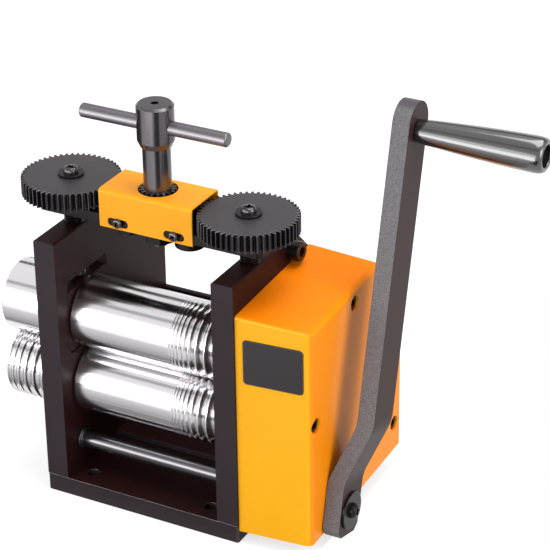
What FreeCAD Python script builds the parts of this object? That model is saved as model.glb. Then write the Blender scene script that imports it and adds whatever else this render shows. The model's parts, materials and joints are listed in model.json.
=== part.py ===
import FreeCAD, Part
import math
import os

V = FreeCAD.Vector

# ---------------------------------------------------------------- driving dimensions (mm)
# +X runs along the rolls to the crank, +Y to the back, +Z up.
# The origin is the centre of the base plate's underside.

# frame
frame_width = 140.0
frame_depth = 130.0
frame_height = 180.0
plate_thickness = 15.0
base_thickness = 12.0
rear_chamfer = 48.5
edge_break = 0.8

# rolls
roll_radius = 23.5
roll_gap = 0.4
opening_travel = 6.5
axis_from_front = 35.0
pass_share = 19 / 36
neck_radius = 13.0
roll_shaft_radius = 10.0
shoulder_gap = 0.4
roll_edge = 0.8

# wire grooves on the rolls
wire_groove_widths = (1.0, 1.4, 1.8, 2.3, 3.0, 4.0, 5.2, 6.2)
wire_groove_land = 0.9
wire_groove_start = 17.3

# ring rollers outside the left plate
ring_length = 35.0
ring_groove_count = 6
ring_groove_first = 2.4
ring_groove_step = 0.8
ring_groove_land = 1.15
ring_groove_depth_share = 0.36
ring_recess_radius = 14.5
ring_recess_depth = 9.0

# bearing blocks and bushes
block_width = 46.0
block_rise = 22.5
block_drop = 20.0
block_rest_gap = 1.2
block_bush_wall = 3.0
slide_clearance = 0.1
running_clearance = 0.05
window_corner = 1.5

# lifting springs between the bearing blocks
spring_radius = 4.5
spring_wire = 0.8
spring_turns = 4.0
spring_pocket_radius = 6.0
spring_pocket_depth = 6.5
block_pocket_depth = 3.5
spring_end_gap = 0.1

# adjusting screws and their gear train
screw_radius = 6.0
screw_journal_radius = 5.0
screw_top_radius = 4.0
screw_gear_teeth = 52
idler_teeth = 19
handle_pinion_teeth = 18
train_gear_width = 11.6
gear_rise = 2.5
train_backlash = 0.16
gear_hub_radius = 9.0
gear_washer_radius = 8.2
gear_washer_thickness = 1.6
gear_screw_radius = 4.8
gear_screw_height = 3.4
gear_screw_shank = 2.5

# bridge bar and gear cover
bridge_lift = 11.0
bridge_thickness = 6.7
bridge_overhang = 8.0
bridge_corner = 4.0
cover_length = 65.2
cover_width = 33.0
cover_drop = 0.9
cover_height = 25.0
cover_sheet = 1.2
cover_bend = 2.4
cover_hole_radius = 12.3
slot_offset = 19.7
slot_length = 14.5
slot_height = 5.5
cover_screw_radius = 3.2
cover_screw_height = 2.0
cover_screw_shank = 2.0
cover_screw_length = 9.0

# T-handle
handle_pinion_extra = 3.8
handle_core_radius = 6.0
handle_shank_radius = 8.7
handle_hub_radius = 11.6
handle_shank_length = 28.4
handle_hub_height = 27.4
handle_hub_neck_radius = 9.8
handle_hub_taper = 4.0
handle_top_chamfer = 1.4
handle_top_hole_radius = 2.4
handle_top_hole_depth = 6.0
handle_bar_radius = 4.5
handle_bar_length = 102.0
handle_bar_rise = 13.0
handle_bar_slide = -1.0
handle_foot_radius = 5.0
handle_foot_length = 13.0
handle_bar_chamfer = 0.8

# nuts and pins under the bridge bar
idler_pin_radius = 4.0
pin_cap_radius = 5.6
pin_cap_height = 1.6
hex_nut_flats = 17.0
hex_nut_height = 8.5
small_nut_flats = 13.0
small_nut_height = 9.5
round_nut_radius = 9.6
round_nut_height = 9.6
nut_washer_radius = 10.0
nut_washer_thickness = 2.0

# tie rods
front_tie_inset = 20.0
front_tie_z = 32.0
front_tie_radius = 5.5
front_tie_screw = 3.0
rear_tie_drop = 7.7
rear_tie_inset = 15.9
rear_tie_radius = 7.0
rear_tie_screw = 4.0
tie_collar_extra = 1.8
tie_collar_width = 2.0
tie_screw_grip = 12.0

# back plate, bent to an angle
angle_thickness = 4.0
angle_height = 92.5
angle_foot_length = 70.0
angle_bend_radius = 6.0
foot_screw_x = 38.0
foot_screw_inset = 35.0

# base fixing holes and screws
base_hole_radius = 4.25
base_hole_x = 43.5
base_hole_inset = 13.0
frame_screw_radius = 3.0
frame_screw_depth = 14.0
frame_screw_inset = 17.0
frame_screw_sink = 0.2

# roll gears and crank reduction
roll_gear_teeth = 12
roll_gear_addendum_share = 0.93
roll_gear_dedendum_share = 1.16
roll_gear_width = 18.0
roll_gear_backlash = 0.7
crank_module = 2.0
crank_pinion_teeth = 12
counter_gear_teeth = 30
crank_gear_width = 12.0
crank_gear_gap = 5.6
crank_backlash = 0.3
crank_axis_height = 22.4
coarse_pressure_angle = 25.0
fine_pressure_angle = 20.0
end_washer_radius = 13.0
end_washer_thickness = 2.0
end_screw_radius = 6.5
end_screw_height = 6.0
end_screw_shank = 4.0
end_screw_grip = 16.0

# shafts of the reduction
crank_shaft_radius = 7.0
crank_journal_radius = 6.0
counter_shaft_radius = 8.0
counter_journal_radius = 6.0
bush_wall = 2.0
wall_boss_wall = 3.5
wall_boss_depth = 6.0
wall_gap = 3.5

# gear housing
housing_front_inset = 1.6
housing_back_proud = 0.8
housing_bottom = 8.3
housing_bottom_rise = 7.2
housing_top_drop = 20.0
housing_rise = 5.0
housing_chamfer_proud = 1.5
housing_draft = 2.4
housing_front_draft = 4.2
housing_rear_draft = 0.7
housing_wall = 3.0
housing_round = 4.5
housing_brow_round = 2.0
housing_screw_head = 5.0
housing_screw_shank = 2.5
housing_screw_recess = 1.5
housing_boss_radius = 4.5
housing_screw_grip = 10.0
top_screw_behind_axis = 29.0
top_screw_drop = 9.0
front_screw_inset = 12.5
front_screw_below_pass = 3.0
low_screw_inset = 8.0
low_screw_height = 35.0
rear_screw_inset = 10.0
rear_screw_above_pass = 9.0

# crank
crank_length = 243.7
crank_lean = 13.8
arm_width = 27.0
arm_thickness = 11.4
arm_clearance = 0.5
arm_offset = 15.0
arm_bend_start = 20.5
arm_bend_end = 59.0
arm_tip_beyond = 18.0
arm_tail_beyond = 16.5
arm_tail_chamfer = 4.5
arm_bend_radius = 27.0
arm_edge = 0.7
crank_square = 10.0
crank_washer_radius = 12.3
crank_washer_thickness = 1.6
crank_screw_radius = 5.0
crank_screw_height = 3.5
crank_screw_shank = 3.0
crank_screw_grip = 18.0

# turning grip
grip_length = 81.5
grip_gap = 0.4
grip_neck_radius = 7.2
grip_small_radius = 7.6
grip_large_radius = 11.2
grip_bore_radius = 4.1
grip_recess_radius = 6.6
grip_recess_depth = 12.0
spindle_radius = 4.0
spindle_head_radius = 5.8
spindle_head_height = 4.0
spindle_nub_radius = 5.0
spindle_nub_height = 3.0

# ---------------------------------------------------------------- places worked out from them
plate_inner = frame_width / 2 - plate_thickness
plate_outer = frame_width / 2
front = -frame_depth / 2
back = frame_depth / 2
chamfer_sum = back + frame_height - rear_chamfer
axis_y = front + axis_from_front
pass_height = frame_height * pass_share
roll_spacing = 2 * roll_radius + roll_gap
lower_axis = pass_height - roll_spacing / 2
upper_axis = pass_height + roll_spacing / 2
roll_end = plate_inner - shoulder_gap
bush_radius = neck_radius + block_bush_wall
block_bottom = upper_axis - block_drop
window_bottom = block_bottom - block_rest_gap
upper_block_top = upper_axis + block_rise
window_top = upper_block_top + opening_travel + 4 * slide_clearance
screw_x = plate_inner + plate_thickness / 2
train_module = screw_x / (screw_gear_teeth / 2 + idler_teeth + handle_pinion_teeth / 2)
idler_x = train_module * (handle_pinion_teeth + idler_teeth) / 2
bridge_underside = frame_height + bridge_lift
bridge_top = bridge_underside + bridge_thickness
gear_underside = bridge_top + gear_rise
gear_top = gear_underside + train_gear_width
cover_underside = bridge_underside - cover_drop
cover_top = cover_underside + cover_height
handle_foot_end = bridge_underside - handle_foot_length
handle_pinion_top = gear_top + handle_pinion_extra
handle_hub_bottom = handle_pinion_top + handle_shank_length
handle_hub_top = handle_hub_bottom + handle_hub_height
handle_bar_height = handle_hub_bottom + handle_bar_rise
front_tie_y = front + front_tie_inset
rear_tie_z = frame_height - rear_tie_drop
rear_tie_y = chamfer_sum - rear_tie_z - rear_tie_inset
angle_foot_front = back - angle_foot_length
foot_screw_y = back - foot_screw_inset
base_hole_y = front + base_hole_inset
frame_screw_y = back - frame_screw_inset
bridge_width = cover_width - 2 * cover_sheet
ring_inner = -(plate_outer + shoulder_gap)
ring_outer = ring_inner - ring_length
roll_gear_module = roll_spacing / roll_gear_teeth
roll_gear_start = plate_outer + shoulder_gap
counter_spacing = crank_module * (crank_pinion_teeth + counter_gear_teeth) / 2
axis_drop = lower_axis - crank_axis_height
counter_rise = (counter_spacing ** 2 - roll_spacing ** 2 + axis_drop ** 2) / (2 * axis_drop)
counter_y = axis_y + math.sqrt(counter_spacing ** 2 - counter_rise ** 2)
counter_z = crank_axis_height + counter_rise
roll_gear_end = roll_gear_start + roll_gear_width
crank_gear_start = roll_gear_end + crank_gear_gap
crank_gear_end = crank_gear_start + crank_gear_width
wall_boss_start = crank_gear_end + wall_gap
wall_boss_end = wall_boss_start + wall_boss_depth
housing_end = wall_boss_end + housing_wall
housing_width = housing_end - plate_outer
housing_front = front + housing_front_inset
housing_back = back + housing_back_proud
housing_top = frame_height - housing_top_drop
top_screw_spot = (axis_y + top_screw_behind_axis, housing_top - top_screw_drop)
front_screw_spot = (front + front_screw_inset, pass_height - front_screw_below_pass)
low_screw_spot = (back - low_screw_inset, low_screw_height)
rear_screw_spot = (back - rear_screw_inset, pass_height + rear_screw_above_pass)
housing_screw_spots = (top_screw_spot, front_screw_spot, low_screw_spot, rear_screw_spot)
housing_boss_spots = (top_screw_spot, low_screw_spot, rear_screw_spot)
arm_inner = housing_end + arm_clearance
arm_outer = arm_inner + arm_thickness
arm_upper_outer = arm_outer + arm_offset


# ---------------------------------------------------------------- general shapes
def block(x, y, z):
    """Box between pairs of x, y and z."""
    return Part.makeBox(x[1] - x[0], y[1] - y[0], z[1] - z[0], V(x[0], y[0], z[0]))


def rod_x(x0, x1, y, z, radius):
    return Part.makeCylinder(radius, x1 - x0, V(x0, y, z), V(1, 0, 0))


def rod_z(x, y, z0, z1, radius):
    return Part.makeCylinder(radius, z1 - z0, V(x, y, z0), V(0, 0, 1))


def rod_y(x, y0, y1, z, radius):
    return Part.makeCylinder(radius, y1 - y0, V(x, y0, z), V(0, 1, 0))


def turned_x(outline, y, z):
    """Turn (x, radius) points or arcs of three such points about the X axis at y, z."""
    edges = []
    last = None
    for step in outline:
        if len(step) == 3:
            start, middle, end = [V(p[0], 0, p[1]) for p in step]
            edges.append(Part.Arc(start, middle, end).toShape())
            last = end
        else:
            point = V(step[0], 0, step[1])
            if last is not None:
                edges.append(Part.makeLine(last, point))
            last = point
    first = edges[0].Vertexes[0].Point
    edges.append(Part.makeLine(last, V(last.x, 0, 0)))
    edges.append(Part.makeLine(V(last.x, 0, 0), V(first.x, 0, 0)))
    edges.append(Part.makeLine(V(first.x, 0, 0), first))
    face = Part.Face(Part.Wire(edges))
    solid = face.revolve(V(0, 0, 0), V(1, 0, 0), 360)
    solid.translate(V(0, y, z))
    return solid


def turned_z(outline, x, y):
    """Turn (radius, z) points about the Z axis at x, y."""
    points = [V(0, 0, outline[0][1])] + [V(r, 0, z) for r, z in outline]
    points.append(V(0, 0, outline[-1][1]))
    points.append(points[0])
    solid = Part.Face(Part.makePolygon(points)).revolve(V(0, 0, 0), V(0, 0, 1), 360)
    solid.translate(V(x, y, 0))
    return solid


def prism_x(points, x0, x1):
    """Extrude a (y, z) polygon from x0 to x1."""
    corners = [V(x0, y, z) for y, z in points]
    face = Part.Face(Part.makePolygon(corners + corners[:1]))
    return face.extrude(V(x1 - x0, 0, 0))


def hexagon_z(x, y, z0, z1, flats):
    corner = flats / math.sqrt(3)
    points = []
    for i in range(7):
        angle = math.radians(60 * i)
        points.append(V(x + corner * math.cos(angle), y + corner * math.sin(angle), z0))
    return Part.Face(Part.makePolygon(points)).extrude(V(0, 0, z1 - z0))


def edges_where(shape, test):
    """Straight edges of a shape whose two ends both pass the test."""
    found = []
    for edge in shape.Edges:
        if len(edge.Vertexes) == 2 and isinstance(edge.Curve, Part.Line):
            if all(test(vertex.Point) for vertex in edge.Vertexes):
                found.append(edge)
    return found


def near(a, b):
    return abs(a - b) < 0.01


# ---------------------------------------------------------------- gears
def involute(angle):
    return math.tan(angle) - angle


def tooth_half_angle(radius, pitch_radius, base_radius, pressure, half_at_pitch):
    """Half the tooth's angle at a radius on its involute flank."""
    turn = math.acos(min(1.0, base_radius / max(radius, base_radius)))
    return half_at_pitch + involute(pressure) - involute(turn)


def gear_face(teeth, module, backlash, pressure_degrees, addendum=1.0, dedendum=1.25):
    """Flat outline of a spur gear in the XY plane, with a tooth on the +X axis."""
    pressure = math.radians(pressure_degrees)
    pitch_radius = teeth * module / 2
    base_radius = pitch_radius * math.cos(pressure)
    tip_radius = pitch_radius + addendum * module
    root_radius = pitch_radius - dedendum * module
    half_at_pitch = math.pi / (2 * teeth) - backlash / (4 * pitch_radius)
    flank_start = max(root_radius, base_radius)
    radii = (flank_start, (flank_start + tip_radius) / 2, tip_radius)
    halves = [tooth_half_angle(r, pitch_radius, base_radius, pressure, half_at_pitch) for r in radii]
    points = []
    for tooth in range(teeth):
        centre = 2 * math.pi * tooth / teeth
        rising = [(radii[i], centre - halves[i]) for i in range(3)]
        falling = [(radii[i], centre + halves[i]) for i in (2, 1, 0)]
        if root_radius < flank_start:
            rising.insert(0, (root_radius, centre - halves[0]))
            falling.append((root_radius, centre + halves[0]))
        points.extend(rising + falling)
    corners = [V(r * math.cos(a), r * math.sin(a), 0) for r, a in points]
    return Part.Face(Part.makePolygon(corners + corners[:1]))


def gear_z(face, x, y, z0, z1, turn_degrees):
    """Gear with its axis along Z, turned so that its first tooth points at turn_degrees."""
    gear = face.extrude(V(0, 0, z1 - z0))
    gear.rotate(V(0, 0, 0), V(0, 0, 1), turn_degrees)
    gear.translate(V(x, y, z0))
    return gear


def gear_x(face, y, z, x0, x1, turn_degrees):
    """Gear with its axis along X; turn_degrees counts from +Y towards +Z."""
    gear = face.extrude(V(0, 0, x1 - x0))
    gear.rotate(V(0, 0, 0), V(0, 0, 1), turn_degrees)
    gear.rotate(V(0, 0, 0), V(1, 1, 1), 120)
    gear.translate(V(x0, y, z))
    return gear


# ---------------------------------------------------------------- frame
def base_plate():
    plate = block((-plate_outer, plate_outer), (front, back), (0, base_thickness))
    upright = edges_where(plate, lambda p: near(abs(p.x), plate_outer) and near(abs(p.y), back))
    corners = [e for e in upright if near(e.Length, base_thickness)]
    plate = plate.makeChamfer(edge_break, corners)
    for x in (-base_hole_x, base_hole_x):
        plate = plate.cut(rod_z(x, base_hole_y, -1, base_thickness + 1, base_hole_radius))
    for x in (-1, 1):
        for y in (-frame_screw_y, frame_screw_y):
            plate = plate.cut(frame_screw_hole(x * (plate_inner + plate_thickness / 2), y))
    for x in (-foot_screw_x, foot_screw_x):
        plate = plate.cut(foot_screw(x))
    return plate


def frame_screw_outline(low):
    """Countersunk screw or its hole, from the underside of the base into a side plate."""
    head = 2 * frame_screw_radius
    rim = 3 * frame_screw_sink
    return [(head, low), (head, rim), (frame_screw_radius, rim + frame_screw_radius),
            (frame_screw_radius, base_thickness + frame_screw_depth)]


def frame_screw(x, y):
    return turned_z(frame_screw_outline(frame_screw_sink), x, y)


def frame_screw_hole(x, y):
    return turned_z(frame_screw_outline(-frame_screw_sink), x, y)


def frame_screws():
    middle = plate_inner + plate_thickness / 2
    return Part.makeCompound([frame_screw(x, y) for x in (-middle, middle)
                              for y in (-frame_screw_y, frame_screw_y)])


def plate_outline():
    chamfer_start = back - rear_chamfer
    return [(front, base_thickness), (front, frame_height), (chamfer_start, frame_height),
            (back, frame_height - rear_chamfer), (back, base_thickness)]


def side_plate(side):
    """Side plate with a slide window; side is -1 for the left plate and 1 for the right."""
    x0, x1 = sorted((side * plate_inner, side * plate_outer))
    plate = prism_x(plate_outline(), x0, x1)
    rims = edges_where(plate, lambda p: p.z > base_thickness + 1 and p.y < back - 1)
    plate = plate.makeChamfer(edge_break, [e for e in rims if not near(e.Length, plate_thickness)])
    half = block_width / 2
    window = block((x0 - 1, x1 + 1), (axis_y - half, axis_y + half), (window_bottom, window_top))
    plate = plate.cut(window.makeFillet(window_corner, window_corners(window)))
    plate = plate.cut(rod_x(x0 - 1, x1 + 1, axis_y, lower_axis, bush_radius))
    plate = plate.cut(rod_z(side * screw_x, axis_y, window_bottom - spring_pocket_depth,
                            window_bottom + 1, spring_pocket_radius))
    hole = screw_radius + running_clearance
    plate = plate.cut(rod_z(side * screw_x, axis_y, window_top - 1, frame_height + 1, hole))
    for y, z, radius in ((front_tie_y, front_tie_z, front_tie_screw),
                         (rear_tie_y, rear_tie_z, rear_tie_screw)):
        plate = plate.cut(rod_x(x0 - 1, x1 + 1, y, z, radius))
    for y in (-frame_screw_y, frame_screw_y):
        plate = plate.cut(frame_screw_hole(side * (plate_inner + plate_thickness / 2), y))
    if side > 0:
        plate = plate.cut(plate_bush_hole(axis_y, crank_axis_height, crank_journal_radius))
        plate = plate.cut(plate_bush_hole(counter_y, counter_z, counter_journal_radius))
        for y, z in housing_screw_spots:
            grip = plate_outer - housing_screw_grip
            plate = plate.cut(rod_x(grip, plate_outer + 1, y, z, housing_screw_shank))
    return plate


def window_corners(window):
    return [e for e in window.Edges if near(e.Length, plate_thickness + 2)]


def plate_bush_hole(y, z, journal):
    return rod_x(plate_inner - 1, plate_outer + 1, y, z, journal + running_clearance + bush_wall)


def back_angle():
    """Back plate with its foot lying on the base, bent from one strip."""
    top = base_thickness + angle_thickness
    outline = [(angle_foot_front, base_thickness), (back, base_thickness), (back, angle_height),
               (back - angle_thickness, angle_height), (back - angle_thickness, top),
               (angle_foot_front, top)]
    strip = prism_x(outline, -plate_inner, plate_inner)
    inside = edges_where(strip, lambda p: near(p.y, back - angle_thickness) and near(p.z, top))
    strip = strip.makeFillet(angle_bend_radius, inside)
    rims = edges_where(strip, lambda p: near(p.z, angle_height) or
                       (near(p.y, angle_foot_front) and near(p.z, top)))
    strip = strip.makeChamfer(edge_break / 2, [e for e in rims if near(e.Length, 2 * plate_inner)])
    for x in (-foot_screw_x, foot_screw_x):
        strip = strip.cut(foot_screw(x))
    return strip


def foot_screw(x):
    """Button-headed screw that holds the angle's foot to the base."""
    top = base_thickness + angle_thickness
    outline = [(frame_screw_radius, 2.0), (frame_screw_radius, top),
               (2 * frame_screw_radius, top), (1.2 * frame_screw_radius, top + 3)]
    return turned_z(outline, x, foot_screw_y)


def foot_screws():
    return Part.makeCompound([foot_screw(x) for x in (-foot_screw_x, foot_screw_x)])


def tie_rod(y, z, radius, screw, collar):
    """Round spacer between the side plates with a collar and a tapped hole at each end."""
    rod = rod_x(-plate_inner, plate_inner, y, z, radius)
    for side in (-1, 1):
        x0, x1 = sorted((side * (plate_inner - tie_collar_width), side * plate_inner))
        rod = rod.fuse(rod_x(x0, x1, y, z, collar))
    rod = rod.removeSplitter()
    for side in (-1, 1):
        x0, x1 = sorted((side * (plate_inner - tie_screw_grip), side * plate_inner))
        rod = rod.cut(rod_x(x0, x1, y, z, screw))
    return rod


def socket_screw_x(side, y, z, radius, seat, tip):
    """Socket head cap screw along X with its head outside x = seat and its tip at x = tip."""
    head = 1.6 * radius
    outer = seat + side * 2 * radius
    socket = outer - side * radius
    shank = rod_x(min(seat, tip), max(seat, tip), y, z, radius)
    cap = rod_x(min(seat, outer), max(seat, outer), y, z, head)
    rim = [e for e in cap.Edges if near(e.CenterOfMass.x, outer) and e.Closed]
    cap = cap.makeChamfer(0.15 * radius, rim)
    key = hexagon_z(0, 0, 0, radius + 1, 1.5 * radius)
    key.rotate(V(0, 0, 0), V(0, 1, 0), 90)
    key.translate(V(min(socket, outer + side), y, z))
    return shank.fuse(cap).removeSplitter().cut(key)


def tie_screws(y, z, radius):
    tip = plate_inner - tie_screw_grip
    return Part.makeCompound([socket_screw_x(s, y, z, radius, s * plate_outer, s * tip)
                              for s in (-1, 1)])


# ---------------------------------------------------------------- bearings
def bearing_block(side):
    """Sliding block for one neck of the upper roll, with a spring pocket in its underside."""
    x0, x1 = sorted((side * plate_inner, side * plate_outer))
    half = block_width / 2 - slide_clearance
    body = block((x0, x1), (axis_y - half, axis_y + half),
                 (block_bottom, upper_block_top))
    upright = edges_where(body, lambda p: near(abs(p.x), plate_inner) or near(abs(p.x), plate_outer))
    corners = [e for e in upright if near(e.Length, plate_thickness)]
    body = body.makeChamfer(window_corner + slide_clearance, corners)
    body = body.cut(rod_x(x0 - 1, x1 + 1, axis_y, upper_axis, bush_radius))
    return body.cut(rod_z((x0 + x1) / 2, axis_y, block_bottom - 1,
                          block_bottom + block_pocket_depth, spring_pocket_radius))


def bush(x0, x1, y, z, inner, outer):
    return rod_x(x0, x1, y, z, outer).cut(rod_x(x0 - 1, x1 + 1, y, z, inner))


def neck_bushes(axis):
    """Bronze bushes for both necks of a roll."""
    inner = neck_radius + running_clearance
    return Part.makeCompound([bush(-plate_outer, -plate_inner, axis_y, axis, inner, bush_radius),
                              bush(plate_inner, plate_outer, axis_y, axis, inner, bush_radius)])


def lift_spring(side):
    """Coil spring between the window's floor and the block it lifts."""
    bottom = window_bottom - spring_pocket_depth + spring_end_gap
    top = block_bottom + block_pocket_depth - spring_end_gap
    height = top - bottom - 2 * spring_wire
    helix = Part.makeHelix(height / spring_turns, height, spring_radius)
    ring = Part.Wire(Part.makeCircle(spring_wire, V(spring_radius, 0, 0), V(0, 1, 0)))
    coil = Part.Wire(helix).makePipeShell([ring], True, True)
    coil.translate(V(side * (plate_inner + plate_thickness / 2), axis_y, bottom + spring_wire))
    return coil


def lift_springs():
    return Part.makeCompound([lift_spring(side) for side in (-1, 1)])


# ---------------------------------------------------------------- rolls
def wire_grooves():
    """Points of the V grooves, from the flat towards the right end, each wider than the last."""
    points = []
    x = wire_groove_start
    for width in wire_groove_widths:
        points.extend([(x, roll_radius), (x + width / 2, roll_radius - width / 2),
                       (x + width, roll_radius)])
        x += width + wire_groove_land
    return points


def roll(axis):
    """Roll with its necks, ring seat on the left and gear seat on the right."""
    left_shaft = ring_outer + ring_recess_depth + 0.3
    right_shaft = roll_gear_end - 0.3
    outline = [(left_shaft, roll_shaft_radius), (ring_inner, roll_shaft_radius),
               (ring_inner, neck_radius), (-roll_end, neck_radius),
               (-roll_end, roll_radius - roll_edge), (-roll_end + roll_edge, roll_radius)]
    outline += wire_grooves()
    outline += [(roll_end - roll_edge, roll_radius), (roll_end, roll_radius - roll_edge),
                (roll_end, neck_radius), (roll_gear_start, neck_radius),
                (roll_gear_start, roll_shaft_radius), (right_shaft, roll_shaft_radius)]
    body = turned_x(outline, axis_y, axis)
    body = body.cut(rod_x(left_shaft - 1, left_shaft + end_screw_grip, axis_y, axis, end_screw_shank))
    return body.cut(rod_x(right_shaft - end_screw_grip, right_shaft + 1, axis_y, axis,
                          end_screw_shank))


def ring_grooves():
    """Arcs of the half-round grooves, wider towards the side plate."""
    steps = []
    x = ring_outer + ring_groove_land
    for i in range(ring_groove_count):
        width = ring_groove_first + ring_groove_step * i
        depth = ring_groove_depth_share * width
        steps.append((x, roll_radius))
        steps.append(((x, roll_radius), (x + width / 2, roll_radius - depth), (x + width, roll_radius)))
        x += width + ring_groove_land
    return steps


def ring(axis, grooved):
    """Ring roller on the shaft end, with a recess for its washer and screw."""
    edge = roll_edge / 2
    outline = [(ring_outer, roll_radius - edge), (ring_outer + edge, roll_radius)]
    if grooved:
        outline += ring_grooves()
    outline += [(ring_inner - edge, roll_radius), (ring_inner, roll_radius - edge)]
    body = turned_x(outline, axis_y, axis)
    body = body.cut(rod_x(ring_outer - 1, ring_inner + 1, axis_y, axis, roll_shaft_radius))
    return body.cut(rod_x(ring_outer - 1, ring_outer + ring_recess_depth, axis_y, axis,
                          ring_recess_radius))


def end_washer(side, seat, axis):
    x0, x1 = sorted((seat, seat + side * end_washer_thickness))
    washer = rod_x(x0, x1, axis_y, axis, end_washer_radius)
    return washer.cut(rod_x(x0 - 1, x1 + 1, axis_y, axis, end_screw_shank))


def end_washers(axis):
    return Part.makeCompound([end_washer(-1, ring_outer + ring_recess_depth, axis),
                              end_washer(1, roll_gear_end, axis)])


def end_screws(axis):
    return Part.makeCompound([end_screw(-1, ring_outer + ring_recess_depth, axis),
                              end_screw(1, roll_gear_end, axis)])


def end_screw(side, seat, axis):
    """Cap screw that holds a ring or a gear on the roll's shaft."""
    face = seat + side * end_washer_thickness
    outer = face + side * end_screw_height
    tip = seat - side * (end_screw_grip - 1)
    shank = rod_x(min(tip, face), max(tip, face), axis_y, axis, end_screw_shank)
    cap = rod_x(min(face, outer), max(face, outer), axis_y, axis, end_screw_radius)
    key = hexagon_z(0, 0, 0, end_screw_height / 2 + 1, end_screw_radius)
    key.rotate(V(0, 0, 0), V(0, 1, 0), 90)
    key.translate(V(outer - end_screw_height / 2 if side > 0 else outer - 1, axis_y, axis))
    return shank.fuse(cap).removeSplitter().cut(key)


def roll_gear(y, z, turn_degrees, bore):
    face = gear_face(roll_gear_teeth, roll_gear_module, roll_gear_backlash, coarse_pressure_angle,
                     roll_gear_addendum_share, roll_gear_dedendum_share)
    gear = gear_x(face, y, z, roll_gear_start, roll_gear_end, turn_degrees)
    return gear.cut(rod_x(roll_gear_start - 1, roll_gear_end + 1, y, z, bore))


# ---------------------------------------------------------------- crank reduction
def counter_shaft():
    return turned_x([(plate_inner + 1, counter_journal_radius), (plate_outer, counter_journal_radius),
                     (plate_outer, counter_shaft_radius), (crank_gear_end + 1, counter_shaft_radius),
                     (crank_gear_end + 1, counter_journal_radius),
                     (wall_boss_end - 0.2, counter_journal_radius)], counter_y, counter_z)


def roll_line_angle():
    """Direction from the countershaft to the lower roll, in degrees from +Y towards +Z."""
    return math.degrees(math.atan2(lower_axis - counter_z, axis_y - counter_y))


def crank_line_angle():
    """Direction from the countershaft to the crank shaft."""
    return math.degrees(math.atan2(crank_axis_height - counter_z, axis_y - counter_y))


def counter_pinion():
    """Driving gear for the lower roll; a gap of it faces the roll gear's tooth."""
    return roll_gear(counter_y, counter_z, roll_line_angle() + 180 / roll_gear_teeth,
                     counter_shaft_radius)


def lower_roll_gear():
    """Lower roll's gear with a tooth towards the countershaft."""
    return roll_gear(axis_y, lower_axis, roll_line_angle() + 180, roll_shaft_radius)


def upper_roll_gear():
    """Upper roll's gear, in mesh with the lower one wherever its teeth stand."""
    pitch = 360 / roll_gear_teeth
    lower_phase = (90 - (roll_line_angle() + 180)) % pitch
    return roll_gear(axis_y, upper_axis, -90 + lower_phase + pitch / 2, roll_shaft_radius)


def counter_gear():
    face = gear_face(counter_gear_teeth, crank_module, crank_backlash, fine_pressure_angle)
    gear = gear_x(face, counter_y, counter_z, crank_gear_start, crank_gear_end, crank_line_angle())
    return gear.cut(rod_x(crank_gear_start - 1, crank_gear_end + 1, counter_y, counter_z,
                          counter_shaft_radius))


def crank_pinion():
    face = gear_face(crank_pinion_teeth, crank_module, crank_backlash, fine_pressure_angle)
    turn = crank_line_angle() + 180 + 180 / crank_pinion_teeth
    gear = gear_x(face, axis_y, crank_axis_height, crank_gear_start, crank_gear_end, turn)
    return gear.cut(rod_x(crank_gear_start - 1, crank_gear_end + 1, axis_y, crank_axis_height,
                          crank_shaft_radius))


def crank_shaft():
    """Shaft with a journal in the side plate and a squared end for the crank arm."""
    square_start = arm_inner - 0.4
    shaft = turned_x([(plate_inner + 1, crank_journal_radius), (plate_outer, crank_journal_radius),
                      (plate_outer, crank_shaft_radius), (square_start, crank_shaft_radius)],
                     axis_y, crank_axis_height)
    half = crank_square / 2
    square = block((square_start - 1, arm_outer - 0.4), (-half, half), (-half, half))
    square.rotate(V(0, 0, 0), V(1, 0, 0), -crank_lean)
    square.translate(V(0, axis_y, crank_axis_height))
    shaft = shaft.fuse(square).removeSplitter()
    return shaft.cut(rod_x(arm_outer - crank_screw_grip, arm_outer, axis_y, crank_axis_height,
                           crank_screw_shank))


def wall_bush(y, z, journal):
    return bush(wall_boss_start, wall_boss_end, y, z, journal + running_clearance,
                journal + running_clearance + bush_wall)


def plate_bush(y, z, journal):
    return bush(plate_inner, plate_outer, y, z, journal + running_clearance,
                journal + running_clearance + bush_wall)


# ---------------------------------------------------------------- housing
def housing_outline(inset, inset_front, inset_rear, low, x):
    """Housing outline in a plane of constant x, drawn in by the draft and the wall."""
    near_front = housing_front + inset_front
    far_back = housing_back - inset_rear
    high = housing_top - inset
    rear_high = high + housing_rise
    slope = chamfer_sum + housing_chamfer_proud - inset
    points = [V(x, near_front, low), V(x, near_front, high), V(x, slope - rear_high, rear_high),
              V(x, far_back, slope - far_back), V(x, far_back, low + housing_bottom_rise)]
    return Part.makePolygon(points + points[:1])


def housing_body():
    """Solid outside of the housing, drafted and rounded."""
    body = Part.makeLoft([housing_outline(0, 0, 0, housing_bottom, plate_outer),
                          housing_outline(housing_draft, housing_front_draft, housing_rear_draft,
                                          housing_bottom, housing_end)], True, True)
    brow_y = housing_front + housing_front_draft
    brow_z = housing_top - housing_draft
    upright = edges_where(body, lambda p: near(p.x, housing_end) and near(p.y, brow_y))
    ridge = edges_where(body, lambda p: near(p.x, housing_end) and p.z > brow_z - edge_break)
    body = body.makeFillet(housing_round, upright + ridge)
    brow = [e for e in body.Edges if e.BoundBox.XLength > housing_width / 2 and
            e.BoundBox.YMax < brow_y + housing_round and e.BoundBox.ZMin > brow_z - housing_round]
    return body.makeFillet(housing_brow_round, brow)


def housing_bore(x0, x1, y, z, radius):
    return rod_x(x0, x1, y, z, radius + running_clearance)


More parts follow.
